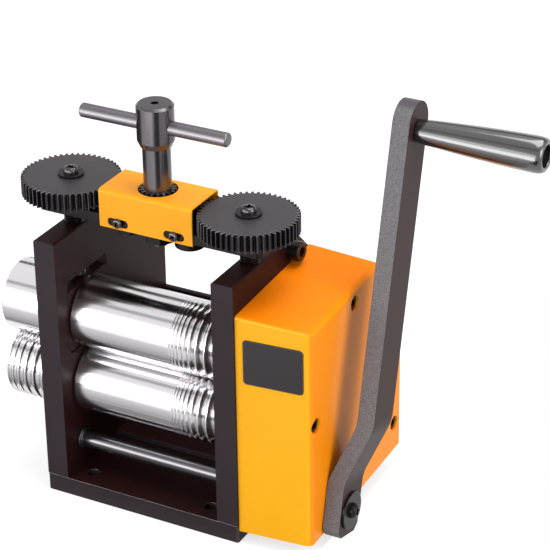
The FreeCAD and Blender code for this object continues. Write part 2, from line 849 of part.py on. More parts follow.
def housing():
    """Drafted cast cover, open towards the side plate and at the bottom."""
    outer = housing_body()
    inner = Part.makeLoft([housing_outline(housing_wall, housing_wall, housing_wall, 0,
                                           plate_outer - 1),
                           housing_outline(housing_draft + housing_wall,
                                           housing_front_draft + housing_wall,
                                           housing_rear_draft + housing_wall, 0,
                                           wall_boss_end)], True, True)
    shell = outer.cut(inner)
    for y, z in housing_boss_spots:
        boss = rod_x(plate_outer, wall_boss_end, y, z, housing_boss_radius)
        shell = shell.fuse(boss.common(outer))
    bearings = ((axis_y, crank_axis_height, crank_shaft_radius),
                (counter_y, counter_z, counter_journal_radius))
    for y, z, journal in bearings:
        pad = housing_bore(wall_boss_start, wall_boss_end, y, z, journal + bush_wall + wall_boss_wall)
        shell = shell.fuse(pad.common(outer))
    shell = shell.removeSplitter()
    for y, z in housing_screw_spots:
        shell = shell.cut(housing_screw_hole(y, z))
    for y, z, journal in bearings:
        shell = shell.cut(housing_bore(crank_gear_end, wall_boss_end, y, z, journal + bush_wall))
    return shell.cut(housing_bore(crank_gear_end, housing_end + 1, axis_y, crank_axis_height,
                                  crank_shaft_radius))


def housing_screw_outline():
    """Points of the countersunk screws through the housing, up to the edge of the head."""
    face = housing_end - housing_screw_recess
    drop = housing_screw_head - housing_screw_shank
    return [(plate_outer - housing_screw_grip, housing_screw_shank),
            (face - drop, housing_screw_shank), (face, housing_screw_head)]


def housing_screw_hole(y, z):
    """Countersunk hole that runs out through the face."""
    return turned_x(housing_screw_outline() + [(housing_end + 1, housing_screw_head)], y, z)


def housing_screw(y, z):
    """Countersunk screw with a socket, set a little below the face."""
    drop = housing_screw_head - housing_screw_shank
    key = hexagon_z(0, 0, 0, drop + 1, 1.3 * housing_screw_shank)
    key.rotate(V(0, 0, 0), V(0, 1, 0), 90)
    key.translate(V(housing_end - housing_screw_recess - drop, y, z))
    return turned_x(housing_screw_outline(), y, z).cut(key)


def housing_screws():
    return Part.makeCompound([housing_screw(y, z) for y, z in housing_screw_spots])


# ---------------------------------------------------------------- screw-down
def adjusting_screw(side):
    """Thread from the block up to the bridge bar, then a journal and a seat for the gear."""
    tip = upper_block_top + slide_clearance
    shoulder = bridge_underside - running_clearance
    outline = [(0.6 * screw_radius, tip), (screw_radius, tip + 0.4 * screw_radius),
               (screw_radius, shoulder), (screw_journal_radius, shoulder),
               (screw_journal_radius, bridge_top + running_clearance),
               (screw_top_radius, bridge_top + running_clearance), (screw_top_radius, gear_top)]
    body = turned_z(outline, side * screw_x, axis_y)
    return body.cut(rod_z(side * screw_x, axis_y, gear_top - 10, gear_top + 1, gear_screw_shank))


def screw_gear(side):
    """Large spur gear with a hub that stands just off the bridge bar."""
    face = gear_face(screw_gear_teeth, train_module, train_backlash, fine_pressure_angle)
    turn = 180 / screw_gear_teeth
    gear = gear_z(face, side * screw_x, axis_y, gear_underside, gear_top, turn)
    hub = rod_z(side * screw_x, axis_y, bridge_top + running_clearance, gear_underside,
                gear_hub_radius)
    gear = gear.fuse(hub).removeSplitter()
    return gear.cut(rod_z(side * screw_x, axis_y, bridge_top, gear_top + 1, screw_top_radius))


def gear_washer(side):
    washer = rod_z(side * screw_x, axis_y, gear_top, gear_top + gear_washer_thickness,
                   gear_washer_radius)
    return washer.cut(rod_z(side * screw_x, axis_y, gear_top - 1, gear_top + 5, gear_screw_shank))


def pan_head(radius, height, base):
    """Outline of a pan head, from its seat up, as (radius, height) points."""
    return [(radius, base), (radius, base + 0.45 * height), (0.85 * radius, base + 0.85 * height),
            (0.45 * radius, base + height)]


def gear_screw(side):
    seat = gear_top + gear_washer_thickness
    outline = [(gear_screw_shank, gear_top - 9), (gear_screw_shank, seat)]
    outline += pan_head(gear_screw_radius, gear_screw_height, seat)
    return turned_z(outline, side * screw_x, axis_y)


def bridge_bar():
    half = bridge_width / 2
    reach = frame_width / 2 + bridge_overhang
    bar = block((-reach, reach), (axis_y - half, axis_y + half), (bridge_underside, bridge_top))
    upright = [e for e in bar.Edges if near(e.Length, bridge_thickness)]
    bar = bar.makeFillet(bridge_corner, upright)
    for side in (-1, 1):
        bar = bar.cut(rod_z(side * screw_x, axis_y, bridge_underside - 1, bridge_top + 1,
                            screw_journal_radius + running_clearance))
        bar = bar.cut(rod_z(side * idler_x, axis_y, bridge_underside - 1, bridge_top + 1,
                            idler_pin_radius))
        for face in (-1, 1):
            bar = bar.cut(cover_screw(side, face))
    return bar.cut(rod_z(0, axis_y, bridge_underside - 1, bridge_top + 1,
                         handle_foot_radius + running_clearance))


def cover_screw(side, face):
    """Pan head screw into the bar's edge; face is -1 in front and 1 behind."""
    height = (bridge_underside + bridge_top) / 2
    outline = [(cover_screw_shank, -cover_screw_length), (cover_screw_shank, 0)]
    outline += pan_head(cover_screw_radius, cover_screw_height, 0)
    screw = turned_z(outline, 0, 0)
    screw.rotate(V(0, 0, 0), V(1, 0, 0), -90 * face)
    screw.translate(V(side * slot_offset, axis_y + face * cover_width / 2, height))
    return screw


def cover_screws():
    return Part.makeCompound([cover_screw(side, face) for side in (-1, 1) for face in (-1, 1)])


def gear_cover():
    """Sheet channel over the gear train, with a hole for the handle and slots in both sides."""
    half = cover_width / 2
    reach = cover_length / 2
    outer = block((-reach, reach), (axis_y - half, axis_y + half), (cover_underside, cover_top))
    bends = edges_where(outer, lambda p: near(p.z, cover_top))
    outer = outer.makeFillet(cover_bend, [e for e in bends if near(e.Length, cover_length)])
    inner = block((-reach - 1, reach + 1), (axis_y - half + cover_sheet, axis_y + half - cover_sheet),
                  (cover_underside - 1, cover_top - cover_sheet))
    bends = edges_where(inner, lambda p: near(p.z, cover_top - cover_sheet))
    bend = cover_bend - cover_sheet
    inner = inner.makeFillet(bend, [e for e in bends if near(e.Length, cover_length + 2)])
    cover = outer.cut(inner)
    cover = cover.cut(rod_z(0, axis_y, cover_top - 5, cover_top + 1, cover_hole_radius))
    height = (bridge_underside + bridge_top) / 2
    straight = (slot_length - slot_height) / 2
    for side in (-1, 1):
        x = side * slot_offset
        slot = block((x - straight, x + straight), (axis_y - half - 1, axis_y + half + 1),
                     (height - slot_height / 2, height + slot_height / 2))
        for end in (-straight, straight):
            slot = slot.fuse(rod_y(x + end, axis_y - half - 1, axis_y + half + 1, height,
                                   slot_height / 2))
        cover = cover.cut(slot)
    return cover


def idler_gear(side):
    face = gear_face(idler_teeth, train_module, train_backlash, fine_pressure_angle)
    turn = 0 if side > 0 else 180
    gear = gear_z(face, side * idler_x, axis_y, gear_underside, gear_top, turn)
    return gear.cut(rod_z(side * idler_x, axis_y, gear_underside - 1, gear_top + 1,
                          idler_pin_radius + running_clearance))


def idler_pin(side):
    """Pin held in the bridge bar that the idler turns on, with a cap over the gear."""
    cap = gear_top + 2 * running_clearance
    low = bridge_underside - nut_height(side) - 1.5
    outline = [(idler_pin_radius, low), (idler_pin_radius, cap), (pin_cap_radius, cap),
               (pin_cap_radius, cap + pin_cap_height)]
    return turned_z(outline, side * idler_x, axis_y)


def nut_height(side):
    return round_nut_height if side > 0 else small_nut_height


def idler_nut(side):
    """Hexagon nut on the left pin, round nut on the right one."""
    low = bridge_underside - nut_height(side)
    if side > 0:
        body = rod_z(side * idler_x, axis_y, low, bridge_underside, round_nut_radius)
        body = body.makeFillet(1.2, [e for e in body.Edges if e.Closed and
                                     near(e.CenterOfMass.z, low)])
    else:
        body = hexagon_z(side * idler_x, axis_y, low, bridge_underside, small_nut_flats)
    return body.cut(rod_z(side * idler_x, axis_y, low - 1, bridge_underside + 1, idler_pin_radius))


def idler_spacer(side):
    """Thin washer between the bar and the idler."""
    washer = rod_z(side * idler_x, axis_y, bridge_top, gear_underside - 2 * running_clearance,
                   1.6 * idler_pin_radius)
    return washer.cut(rod_z(side * idler_x, axis_y, bridge_top - 1, gear_underside, idler_pin_radius))


def handle_shaft():
    """Handle hub, shank, pinion and foot turned from one bar."""
    outline = [(handle_foot_radius, handle_foot_end), (handle_foot_radius, bridge_top),
               (handle_core_radius, bridge_top + running_clearance),
               (handle_core_radius, handle_pinion_top), (handle_shank_radius, handle_pinion_top),
               (handle_shank_radius, handle_hub_bottom), (handle_hub_neck_radius, handle_hub_bottom),
               (handle_hub_radius, handle_hub_bottom + handle_hub_taper),
               (handle_hub_radius, handle_hub_top - handle_top_chamfer),
               (handle_hub_radius - handle_top_chamfer, handle_hub_top)]
    shaft = turned_z(outline, 0, axis_y)
    face = gear_face(handle_pinion_teeth, train_module, train_backlash, fine_pressure_angle)
    pinion = gear_z(face, 0, axis_y, gear_underside, handle_pinion_top, 0)
    shaft = shaft.fuse(pinion).removeSplitter()
    shaft = shaft.cut(rod_x(-2 * handle_hub_radius, 2 * handle_hub_radius, axis_y,
                            handle_bar_height, handle_bar_radius))
    return shaft.cut(rod_z(0, axis_y, handle_hub_top - handle_top_hole_depth, handle_hub_top + 1,
                           handle_top_hole_radius))


def handle_bar():
    half = handle_bar_length / 2
    small = handle_bar_radius - handle_bar_chamfer
    bar = turned_x([(-half, small), (-half + handle_bar_chamfer, handle_bar_radius),
                    (half - handle_bar_chamfer, handle_bar_radius), (half, small)],
                   axis_y, handle_bar_height)
    bar.translate(V(handle_bar_slide, 0, 0))
    return bar


def handle_washer():
    washer = rod_z(0, axis_y, bridge_underside - nut_washer_thickness - running_clearance,
                   bridge_underside - running_clearance, nut_washer_radius)
    return washer.cut(rod_z(0, axis_y, handle_foot_end, bridge_top, handle_foot_radius))


def handle_nut():
    top = bridge_underside - nut_washer_thickness - running_clearance
    nut = hexagon_z(0, axis_y, top - hex_nut_height, top, hex_nut_flats)
    return nut.cut(rod_z(0, axis_y, handle_foot_end, bridge_top, handle_foot_radius))


# ---------------------------------------------------------------- crank
def crank_arm():
    """Flat bar with an outward double bend and round ends, leaning back with the crank."""
    half = arm_width / 2
    low = -arm_tail_beyond
    high = crank_length + arm_tip_beyond
    x0, x1 = arm_inner, arm_outer
    side_view = [(x0, low), (x0, arm_bend_start), (x0 + arm_offset, arm_bend_end),
                 (x0 + arm_offset, high), (x1 + arm_offset, high), (x1 + arm_offset, arm_bend_end),
                 (x1, arm_bend_start), (x1, low)]
    corners = [V(x, -half, z) for x, z in side_view]
    bar = Part.Face(Part.makePolygon(corners + corners[:1])).extrude(V(0, arm_width, 0))
    bends = edges_where(bar, lambda p: near(p.z, arm_bend_start) or near(p.z, arm_bend_end))
    bar = bar.makeFillet(arm_bend_radius, [e for e in bends if near(e.Length, arm_width)])
    x_low, x_high = x0 - 1, x1 + arm_offset + 1
    tail = half - arm_tail_chamfer
    shoulder = low + arm_tail_chamfer
    front_view = prism_x([(-half, high - half), (-half, shoulder), (-tail, low), (tail, low),
                          (half, shoulder), (half, high - half)], x_low, x_high)
    front_view = front_view.fuse(rod_x(x_low, x_high, 0, high - half, half))
    bar = bar.common(front_view.removeSplitter())
    side = crank_square / 2
    bar = bar.cut(block((x0 - 1, x1 + 1), (-side, side), (-side, side)))
    bar = bar.cut(rod_x(x0, x_high, 0, crank_length, spindle_radius))
    bar.rotate(V(0, 0, 0), V(1, 0, 0), -crank_lean)
    bar.translate(V(0, axis_y, crank_axis_height))
    return bar


def crank_washer():
    washer = rod_x(arm_outer, arm_outer + crank_washer_thickness, axis_y, crank_axis_height,
                   crank_washer_radius)
    return washer.cut(rod_x(arm_outer - 1, arm_outer + 5, axis_y, crank_axis_height,
                            crank_screw_shank))


def crank_screw():
    """Pan head screw that holds the arm on its square."""
    seat = arm_outer + crank_washer_thickness
    outline = [(arm_outer - crank_screw_grip + 1, crank_screw_shank), (seat, crank_screw_shank)]
    outline += [(x, radius) for radius, x in pan_head(crank_screw_radius, crank_screw_height, seat)]
    return turned_x(outline, axis_y, crank_axis_height)


def grip_centre():
    lean = math.radians(crank_lean)
    return (axis_y + crank_length * math.sin(lean), crank_axis_height + crank_length * math.cos(lean))


def handle_spindle():
    """Shoulder bolt through the arm; its nub shows inside and its head in the grip's recess."""
    y, z = grip_centre()
    inner = arm_inner + arm_offset
    recess_floor = arm_upper_outer + grip_gap + grip_length - grip_recess_depth
    return turned_x([(inner - spindle_nub_height, spindle_nub_radius), (inner, spindle_nub_radius),
                     (inner, spindle_radius), (recess_floor + grip_gap, spindle_radius),
                     (recess_floor + grip_gap, spindle_head_radius),
                     (recess_floor + grip_gap + spindle_head_height, spindle_head_radius)], y, z)


def handle_grip():
    """Tapered grip that turns on the spindle."""
    y, z = grip_centre()
    start = arm_upper_outer + grip_gap
    end = start + grip_length
    neck = start + 0.05 * grip_length
    shoulder = start + 0.1 * grip_length
    belly = start + 0.55 * grip_length
    rim = end - 0.09 * grip_length
    round_high = grip_large_radius + 0.1
    body = turned_x([(start, grip_neck_radius), (neck, grip_neck_radius),
                     ((neck, grip_neck_radius), (shoulder, grip_small_radius + 0.6),
                      (start + 0.2 * grip_length, grip_small_radius + 1.2)),
                     ((start + 0.2 * grip_length, grip_small_radius + 1.2),
                      (belly, grip_large_radius - 0.9), (rim, grip_large_radius)),
                     ((rim, grip_large_radius), (end - 0.03 * grip_length, round_high - 0.5),
                      (end, grip_large_radius - 2.2))], y, z)
    body = body.cut(rod_x(start - 1, end + 1, y, z, grip_bore_radius))
    return body.cut(rod_x(end - grip_recess_depth, end + 1, y, z, grip_recess_radius))


# ---------------------------------------------------------------- the whole mill
def all_nodes():
    nodes = {
        "base_plate": base_plate(),
        "side_plate_left": side_plate(-1),
        "side_plate_right": side_plate(1),
        "back_angle": back_angle(),
        "frame_screws": frame_screws(),
        "foot_screws": foot_screws(),
        "front_tie_rod": tie_rod(front_tie_y, front_tie_z, front_tie_radius, front_tie_screw,
                                 front_tie_radius + tie_collar_extra),
        "rear_tie_rod": tie_rod(rear_tie_y, rear_tie_z, rear_tie_radius, rear_tie_screw,
                                rear_tie_radius),
        "tie_rod_screws": Part.makeCompound([tie_screws(front_tie_y, front_tie_z, front_tie_screw),
                                             tie_screws(rear_tie_y, rear_tie_z, rear_tie_screw)]),
        "lift_springs": lift_springs(),
        "housing": housing(),
        "housing_screws": housing_screws(),
        "wall_bushes": Part.makeCompound([wall_bush(axis_y, crank_axis_height, crank_shaft_radius),
                                          wall_bush(counter_y, counter_z,
                                                    counter_journal_radius)]),
        "plate_bushes": Part.makeCompound([plate_bush(axis_y, crank_axis_height,
                                                      crank_journal_radius),
                                           plate_bush(counter_y, counter_z,
                                                      counter_journal_radius)]),
        "bridge_bar": bridge_bar(),
        "gear_cover": gear_cover(),
        "cover_screws": cover_screws(),
        "handle_shaft": handle_shaft(),
        "handle_bar": handle_bar(),
        "handle_washer": handle_washer(),
        "handle_nut": handle_nut(),
        "upper_roll": roll(upper_axis),
        "lower_roll": roll(lower_axis),
        "upper_bushes": neck_bushes(upper_axis),
        "lower_bushes": neck_bushes(lower_axis),
        "upper_end_washers": end_washers(upper_axis),
        "lower_end_washers": end_washers(lower_axis),
        "upper_end_screws": end_screws(upper_axis),
        "lower_end_screws": end_screws(lower_axis),
        "upper_ring": ring(upper_axis, False),
        "lower_ring": ring(lower_axis, True),
        "upper_roll_gear": upper_roll_gear(),
        "lower_roll_gear": lower_roll_gear(),
        "counter_shaft": counter_shaft(),
        "counter_pinion": counter_pinion(),
        "counter_gear": counter_gear(),
        "crank_shaft": crank_shaft(),
        "crank_pinion": crank_pinion(),
        "crank_arm": crank_arm(),
        "crank_washer": crank_washer(),
        "crank_screw": crank_screw(),
        "handle_spindle": handle_spindle(),
        "handle_grip": handle_grip(),
    }
    for side, word in ((-1, "left"), (1, "right")):
        nodes["bearing_block_" + word] = bearing_block(side)
        nodes["adjusting_screw_" + word] = adjusting_screw(side)
        nodes["screw_gear_" + word] = screw_gear(side)
        nodes["gear_washer_" + word] = gear_washer(side)
        nodes["gear_screw_" + word] = gear_screw(side)
        nodes["idler_gear_" + word] = idler_gear(side)
    nodes["idler_pins"] = Part.makeCompound([idler_pin(-1), idler_pin(1)])
    nodes["idler_spacers"] = Part.makeCompound([idler_spacer(-1), idler_spacer(1)])
    nodes["idler_nut_left"] = idler_nut(-1)
    nodes["idler_nut_right"] = idler_nut(1)
    return nodes


os.makedirs("parts", exist_ok=True)
for name, shape in all_nodes().items():
    shape.exportStep("parts/" + name + ".step")
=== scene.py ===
import json
import math

import bmesh
import bpy
from bpy.props import FloatProperty, FloatVectorProperty, IntProperty, PointerProperty
from mathutils import Matrix, Vector


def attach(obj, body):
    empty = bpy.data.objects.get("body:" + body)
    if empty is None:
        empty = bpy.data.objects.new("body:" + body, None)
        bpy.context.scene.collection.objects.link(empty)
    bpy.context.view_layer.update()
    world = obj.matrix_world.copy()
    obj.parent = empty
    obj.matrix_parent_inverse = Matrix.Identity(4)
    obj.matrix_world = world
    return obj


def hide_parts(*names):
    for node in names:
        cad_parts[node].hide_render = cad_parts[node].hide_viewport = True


bl_info = {
    "name": "Jewellers Rolling Mill",
    "version": (1, 0, 0),
    "blender": (4, 5, 0),
    "location": "View3D > Sidebar > Mill",
    "description": "Dresses the frame of a hand cranked rolling mill with finished pieces",
    "category": "Object",
}

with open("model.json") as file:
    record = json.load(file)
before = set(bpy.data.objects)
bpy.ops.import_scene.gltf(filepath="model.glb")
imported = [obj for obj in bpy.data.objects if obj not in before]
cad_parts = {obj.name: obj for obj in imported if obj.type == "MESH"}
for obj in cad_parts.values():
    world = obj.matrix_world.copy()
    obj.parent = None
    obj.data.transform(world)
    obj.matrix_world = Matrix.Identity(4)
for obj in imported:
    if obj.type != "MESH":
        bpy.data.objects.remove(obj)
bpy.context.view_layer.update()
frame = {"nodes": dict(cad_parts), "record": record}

BODY_OF = {node: body for body, nodes in frame["record"]["behaviour"]["bodies"].items()
           for node in nodes}
MM = 0.001

# ---- frame and case (mm)

PLATE_OUTER = 70.0
TIE_SCREWS = ((-45.0, 32.0, 3.0), (8.3, 172.3, 4.0))    # y, z and radius
TIE_SCREW_LENGTH = 27.0
CASE_END = 118.5
CASE_FRONT = -63.4
CASE_DRAFT = 4.2
CASE_SCREWS = ((-1.0, 151.0), (-52.5, 92.0), (57.0, 35.0), (55.0, 104.0))    # y and z
CASE_SCREW_SEAT = CASE_END - 4.0
CASE_SCREW_LENGTH = 54.0
CASE_SCREW_RADIUS = 2.5
CASE_HEAD_RADIUS = 4.95
LABEL_X = (75.0, 114.0)
LABEL_Z = (115.5, 145.7)
LABEL_CORNER = 2.4
LABEL_BURIED = 0.2

# ---- rolls (mm)

ROLL_Y = -30.0
LOWER_Z = 71.3
UPPER_Z = 118.7
ROLL_RADIUS = 23.5
ROLL_END = 54.6
ROLL_CHAMFER = 0.8
JOURNAL_END = 70.4
JOURNAL_RADIUS = 13.0
STUB_LEFT = -96.1
STUB_RIGHT = 88.1
STUB_RADIUS = 10.0
WIRE_START = 17.3
WIRE_WIDTHS = (1.0, 1.4, 1.8, 2.3, 3.0, 4.0, 5.2, 6.2)
WIRE_LAND = 0.9
RING_LEFT = -105.4
RING_BORE = 10.1
RING_CHAMFER = 0.4
RING_SEAT = -96.4
RING_RECESS = 14.5
RING_LAND = 1.15
RING_WIDTHS = [2.4 + 0.8 * i for i in range(6)]
RING_DEPTH = 0.36    # share of a groove's width
RING_STEPS = 8
END_WASHER = 2.0
END_WASHER_RADIUS = 13.0
END_SEAT_RIGHT = 88.4
END_SCREW_RADIUS = 4.0
END_SCREW_LENGTH = 16.0

# ---- screw-down and T-handle (mm)

SCREW_X = 62.5
SCREW_RADIUS = 6.0
SCREW_LOW = 141.3
SCREW_POINT = 3.6
SCREW_NECK = 5.0
SCREW_STUB = 4.0
THREAD_LOW = 177.0
THREAD_PROFILE = ((0, 0), (0.36, 1), (0.52, 1), (0.88, 0), (1, 0))    # shares of pitch and depth
BRIDGE_LOW = 191.0
BRIDGE_TOP = 197.7
BRIDGE_GAP = 0.05
COVER_SCREW_X = 19.7
COVER_SCREW_SEAT = 16.5
COVER_SCREW_RADIUS = 2.0
COVER_SCREW_LENGTH = 9.0
GEAR_TOP = 211.8
GEAR_WASHER = 1.6
GEAR_WASHER_RADIUS = 8.2
GEAR_SCREW_RADIUS = 2.5
GEAR_SCREW_LENGTH = 10.6
PINION_TOP = 215.6
SHANK_RADIUS = 8.7
HUB_LOW = 244.0
HUB_TOP = 271.4
HUB_FOOT_RADIUS = 9.8
HUB_RADIUS = 11.6
HUB_TAPER = 4.0
HUB_CHAMFER = 1.4
HUB_HOLE = 2.4
HUB_HOLE_DEPTH = 6.0
BAR_Z = 257.0
BAR_LEFT = -52.0
BAR_RIGHT = 50.0
BAR_RADIUS = 4.5
BAR_CHAMFER = 0.8

# ---- crank and grip (mm)

CRANK_Z = 22.4
CRANK_LEAN = math.radians(13.8)
CRANK_LENGTH = 243.7
ARM_OUTER = 130.4
ARM_TOP_OUTER = 145.4
CRANK_WASHER = 1.6
CRANK_WASHER_RADIUS = 12.3
CRANK_SCREW_RADIUS = 3.0
CRANK_SCREW_LENGTH = 18.6
SPINDLE_START = 131.0
SPINDLE_SHOULDER = 134.0
SPINDLE_RADIUS = 4.0
SPINDLE_SEAT_RADIUS = 5.0
SPINDLE_HEAD_RADIUS = 5.8
GRIP_START = ARM_TOP_OUTER + 0.4
GRIP_BORE = 4.1
GRIP_RECESS = 6.6
GRIP_RECESS_DEPTH = 12.0
GRIP_OUTSIDE = ((0, 6.8), (0.4, 7.2), (4, 7.5), (12, 8.2), (24, 9.0), (38, 9.8), (52, 10.5),
                (64, 10.9), (73, 11.1), (77, 11.0), (79.4, 10.5), (81, 9.6), (81.5, 8.4))
GRIP_PLACE = (0, ROLL_Y + CRANK_LENGTH * math.sin(CRANK_LEAN),
              CRANK_Z + CRANK_LENGTH * math.cos(CRANK_LEAN))

# ---- screw heads

HEXAGON_TAPER = 0.95
CROSS_TAPER = 0.45
SPIN_STEPS = 64
SCREW_STEPS = 48

# ---- stage (m, degrees)

BENCH_EDGE = 0.1187
BENCH_REACH = 6.0
LAMPS = (("key", (-0.6, -1.1, 0.46), 2.4, 0.55, 1.12),    # name, place, width, height, share
         ("top", (0.25, 0.2, 1.3), 0.9, 0.9, 1.1),
         ("side", (1.2, -0.2, 0.6), 0.7, 0.7, 0.75))
LAMP_TARGET = (0.02, -0.02, 0.12)
# Cards that only reflections see and that light nothing, all painted reflections: darker bands
# over the front, dark patches on the floor, strips of painted floor shadow in front of the mill,
# and a glowing card for painted highlights.
DARK_BANDS = ((50, 60, 0.5), (131, 144, 0.08))    # low and high angle over the front, brightness
DARK_BAND_X = (-4, 1)
DARK_BAND_DISTANCE = 1.3
DARK_SECTORS = ((14, 50), (-150, -62))    # angles about Z
SECTOR_REACH = (0.36, 1.2)
SECTOR_GLOW = 0.02
SHADOW_STRIPS = ((0.07, 0.105, 0.3), (0.105, 0.14, 0.5), (0.14, 0.18, 0.62), (0.18, 0.23, 0.72),
          (0.23, 0.30, 0.8))    # near and far in front of the centre, brightness
SHADOW_STRIP_X = (-0.5, 0.118)
CARD_LIFT = 0.002
# The glowing card for painted highlights; it is no lamp.
HIGHLIGHT_CARD_X = (-1.6, 0.25)
HIGHLIGHT_CARD_Y = -0.63
HIGHLIGHT_CARD_Z = (0.05, 0.30)
HIGHLIGHT_CARD_GLOW = 7.0
CAMERA_ANGLES = (28.526, 27.669, -0.818)    # azimuth, elevation, roll
CAMERA_PLACE = (0.6726, -1.12067, 0.82258)
CAMERA_LENS = 153.07
CAMERA_SENSOR = 36.0
CAMERA_SHIFT = (-0.00044, 0.00811)
CAMERA_CLIP = (0.05, 20.0)


# ---- settings


def colour_setting(name, description, default):
    return FloatVectorProperty(name=name, description=description, subtype="COLOR", size=3,
                               default=default, min=0, max=1)


def number_setting(name, description, default, low, high):
    return FloatProperty(name=name, description=description, default=default, min=low, max=high)


class MillFinish(bpy.types.PropertyGroup):
    """Colours of the mill's finishes."""

    plate_paint: colour_setting(
        "Plate paint", "Paint on the plates' faces towards the front and back",
        (0.032, 0.023, 0.027))
    # plate_side_painted_shade is painted shade with a painted reddish reflection of the orange
    # case: the plates' other faces are darker and redder than their front and back faces, though
    # all are one paint.
    plate_side_painted_shade: colour_setting(
        "Plate sides", "Paint on the plates' other faces", (0.021, 0.0065, 0.0060))
    case_enamel: colour_setting(
        "Case enamel", "Enamel on the end of the gear case", (0.99, 0.285, 0.003))
    # case_front_lit and case_top_shaded are lit and shaded copies of the case's one enamel:
    # painted light makes the front and back faces yellower, painted shade makes the faces that
    # look up or down redder.
    case_front_lit: colour_setting(
        "Case front", "Enamel on the case's faces towards the front and back",
        (0.99, 0.46, 0.009))
    case_top_shaded: colour_setting(
        "Case top", "Enamel on the case's faces that look up or down", (1.0, 0.235, 0.002))
    cover_enamel: colour_setting(
        "Cover enamel", "Enamel on the top and ends of the gear cover", (0.97, 0.36, 0.012))
    # cover_front_lit is painted light: the gear cover's front and back faces are yellower than its
    # top and ends, though the cover has one enamel.
    cover_front_lit: colour_setting(
        "Cover front", "Enamel on the front and back of the gear cover", (0.97, 0.405, 0.007))
    roll_steel: colour_setting(
        "Roll steel", "Ground steel of the rolls", (0.75, 0.735, 0.75))
    gear_tooth: colour_setting(
        "Gear teeth", "Oiled steel of the gears' teeth", (0.022, 0.019, 0.021))
    gear_steel: colour_setting(
        "Gear steel", "Dark steel of the gears' flat sides", (0.074, 0.065, 0.071))
    handle_steel: colour_setting(
        "Handle steel", "Blackened steel of the T-handle's shaft", (0.125, 0.113, 0.123))
    crank_paint: colour_setting(
        "Crank paint", "Hammered paint on the narrow faces of the crank arm",
        (0.155, 0.148, 0.157))
    crank_face: colour_setting(
        "Crank face", "Smooth paint on the broad faces of the crank arm", (0.034, 0.017, 0.016))
    crank_end: colour_setting(
        "Crank end", "Smooth paint on the round ends of the crank arm", (0.080, 0.074, 0.080))
    grip_colour: colour_setting(
        "Grip", "Plastic of the turning grip", (0.012, 0.011, 0.012))


class MillSizes(bpy.types.PropertyGroup):
    """Sizes of the mill's details, in millimetres."""

    edge_round: number_setting(
        "Edge round", "Rounding on the edges of the plates", 0.45, 0.05, 1.5)
    thread_pitch: number_setting("Thread pitch", "Pitch of the adjusting screws", 1.75, 0.5, 3)
    thread_depth: number_setting(
        "Thread depth", "Depth of the adjusting screws' thread", 1.0, 0.2, 2)
    label_thickness: number_setting(
        "Label thickness", "Thickness of the blank label plate", 0.5, 0.1, 1.5)
    turn_steps: IntProperty(
        name="Turning steps", description="Facets round a large turned piece",
        default=128, min=24, max=256)


class StageSettings(bpy.types.PropertyGroup):
    """Floor and light."""

    floor_colour: colour_setting("Floor", "Colour of the floor", (0.42, 0.42, 0.42))
    floor_glow: number_setting(
        "Floor glow", "How far the floor itself goes towards white", 0.68, 0, 1)
    key_power: FloatProperty(
        name="Lamps", description="Power that the lamps take their shares of",
        subtype="POWER", unit="POWER", default=9.5, min=0, max=200)
    sky_strength: number_setting("Sky", "Strength of the surrounding light", 0.62, 0, 3)


# ---- shader groups and materials


def feed(tree, node, inputs):
    """Links sockets to a node's inputs, or sets plain values on them."""
    for key, value in inputs.items():
        if isinstance(value, bpy.types.NodeSocket):
            tree.links.new(value, node.inputs[key])
        else:
            node.inputs[key].default_value = value


def node_at(tree, kind, x, y, inputs=None, **values):
    made = tree.nodes.new(kind)
    made.location = (x, y)
    for key, value in values.items():
        setattr(made, key, value)
    feed(tree, made, inputs or {})
    return made


def new_group(name, inputs, outputs):
    """An empty shader group with its sockets."""
    tree = bpy.data.node_groups.new(name, "ShaderNodeTree")
    for socket, kind, value in inputs:
        made = tree.interface.new_socket(name=socket, in_out="INPUT",
                                         socket_type="NodeSocket" + kind)
        made.default_value = value
    for socket, kind in outputs:
        tree.interface.new_socket(name=socket, in_out="OUTPUT",
                                  socket_type="NodeSocket" + kind)
    return tree


SURFACE = {"tone": ("Tone Change", 0.1), "grain": ("Grain Scale", 400.0),
           "stretch": ("Stretch", (1, 1, 1)), "patch": ("Patch Scale", 25.0),
           "rough": ("Roughness", 0.4), "rough_change": ("Roughness Change", 0.1),
           "height": ("Grain Height", 0.1)}    # the group's input and its plain value


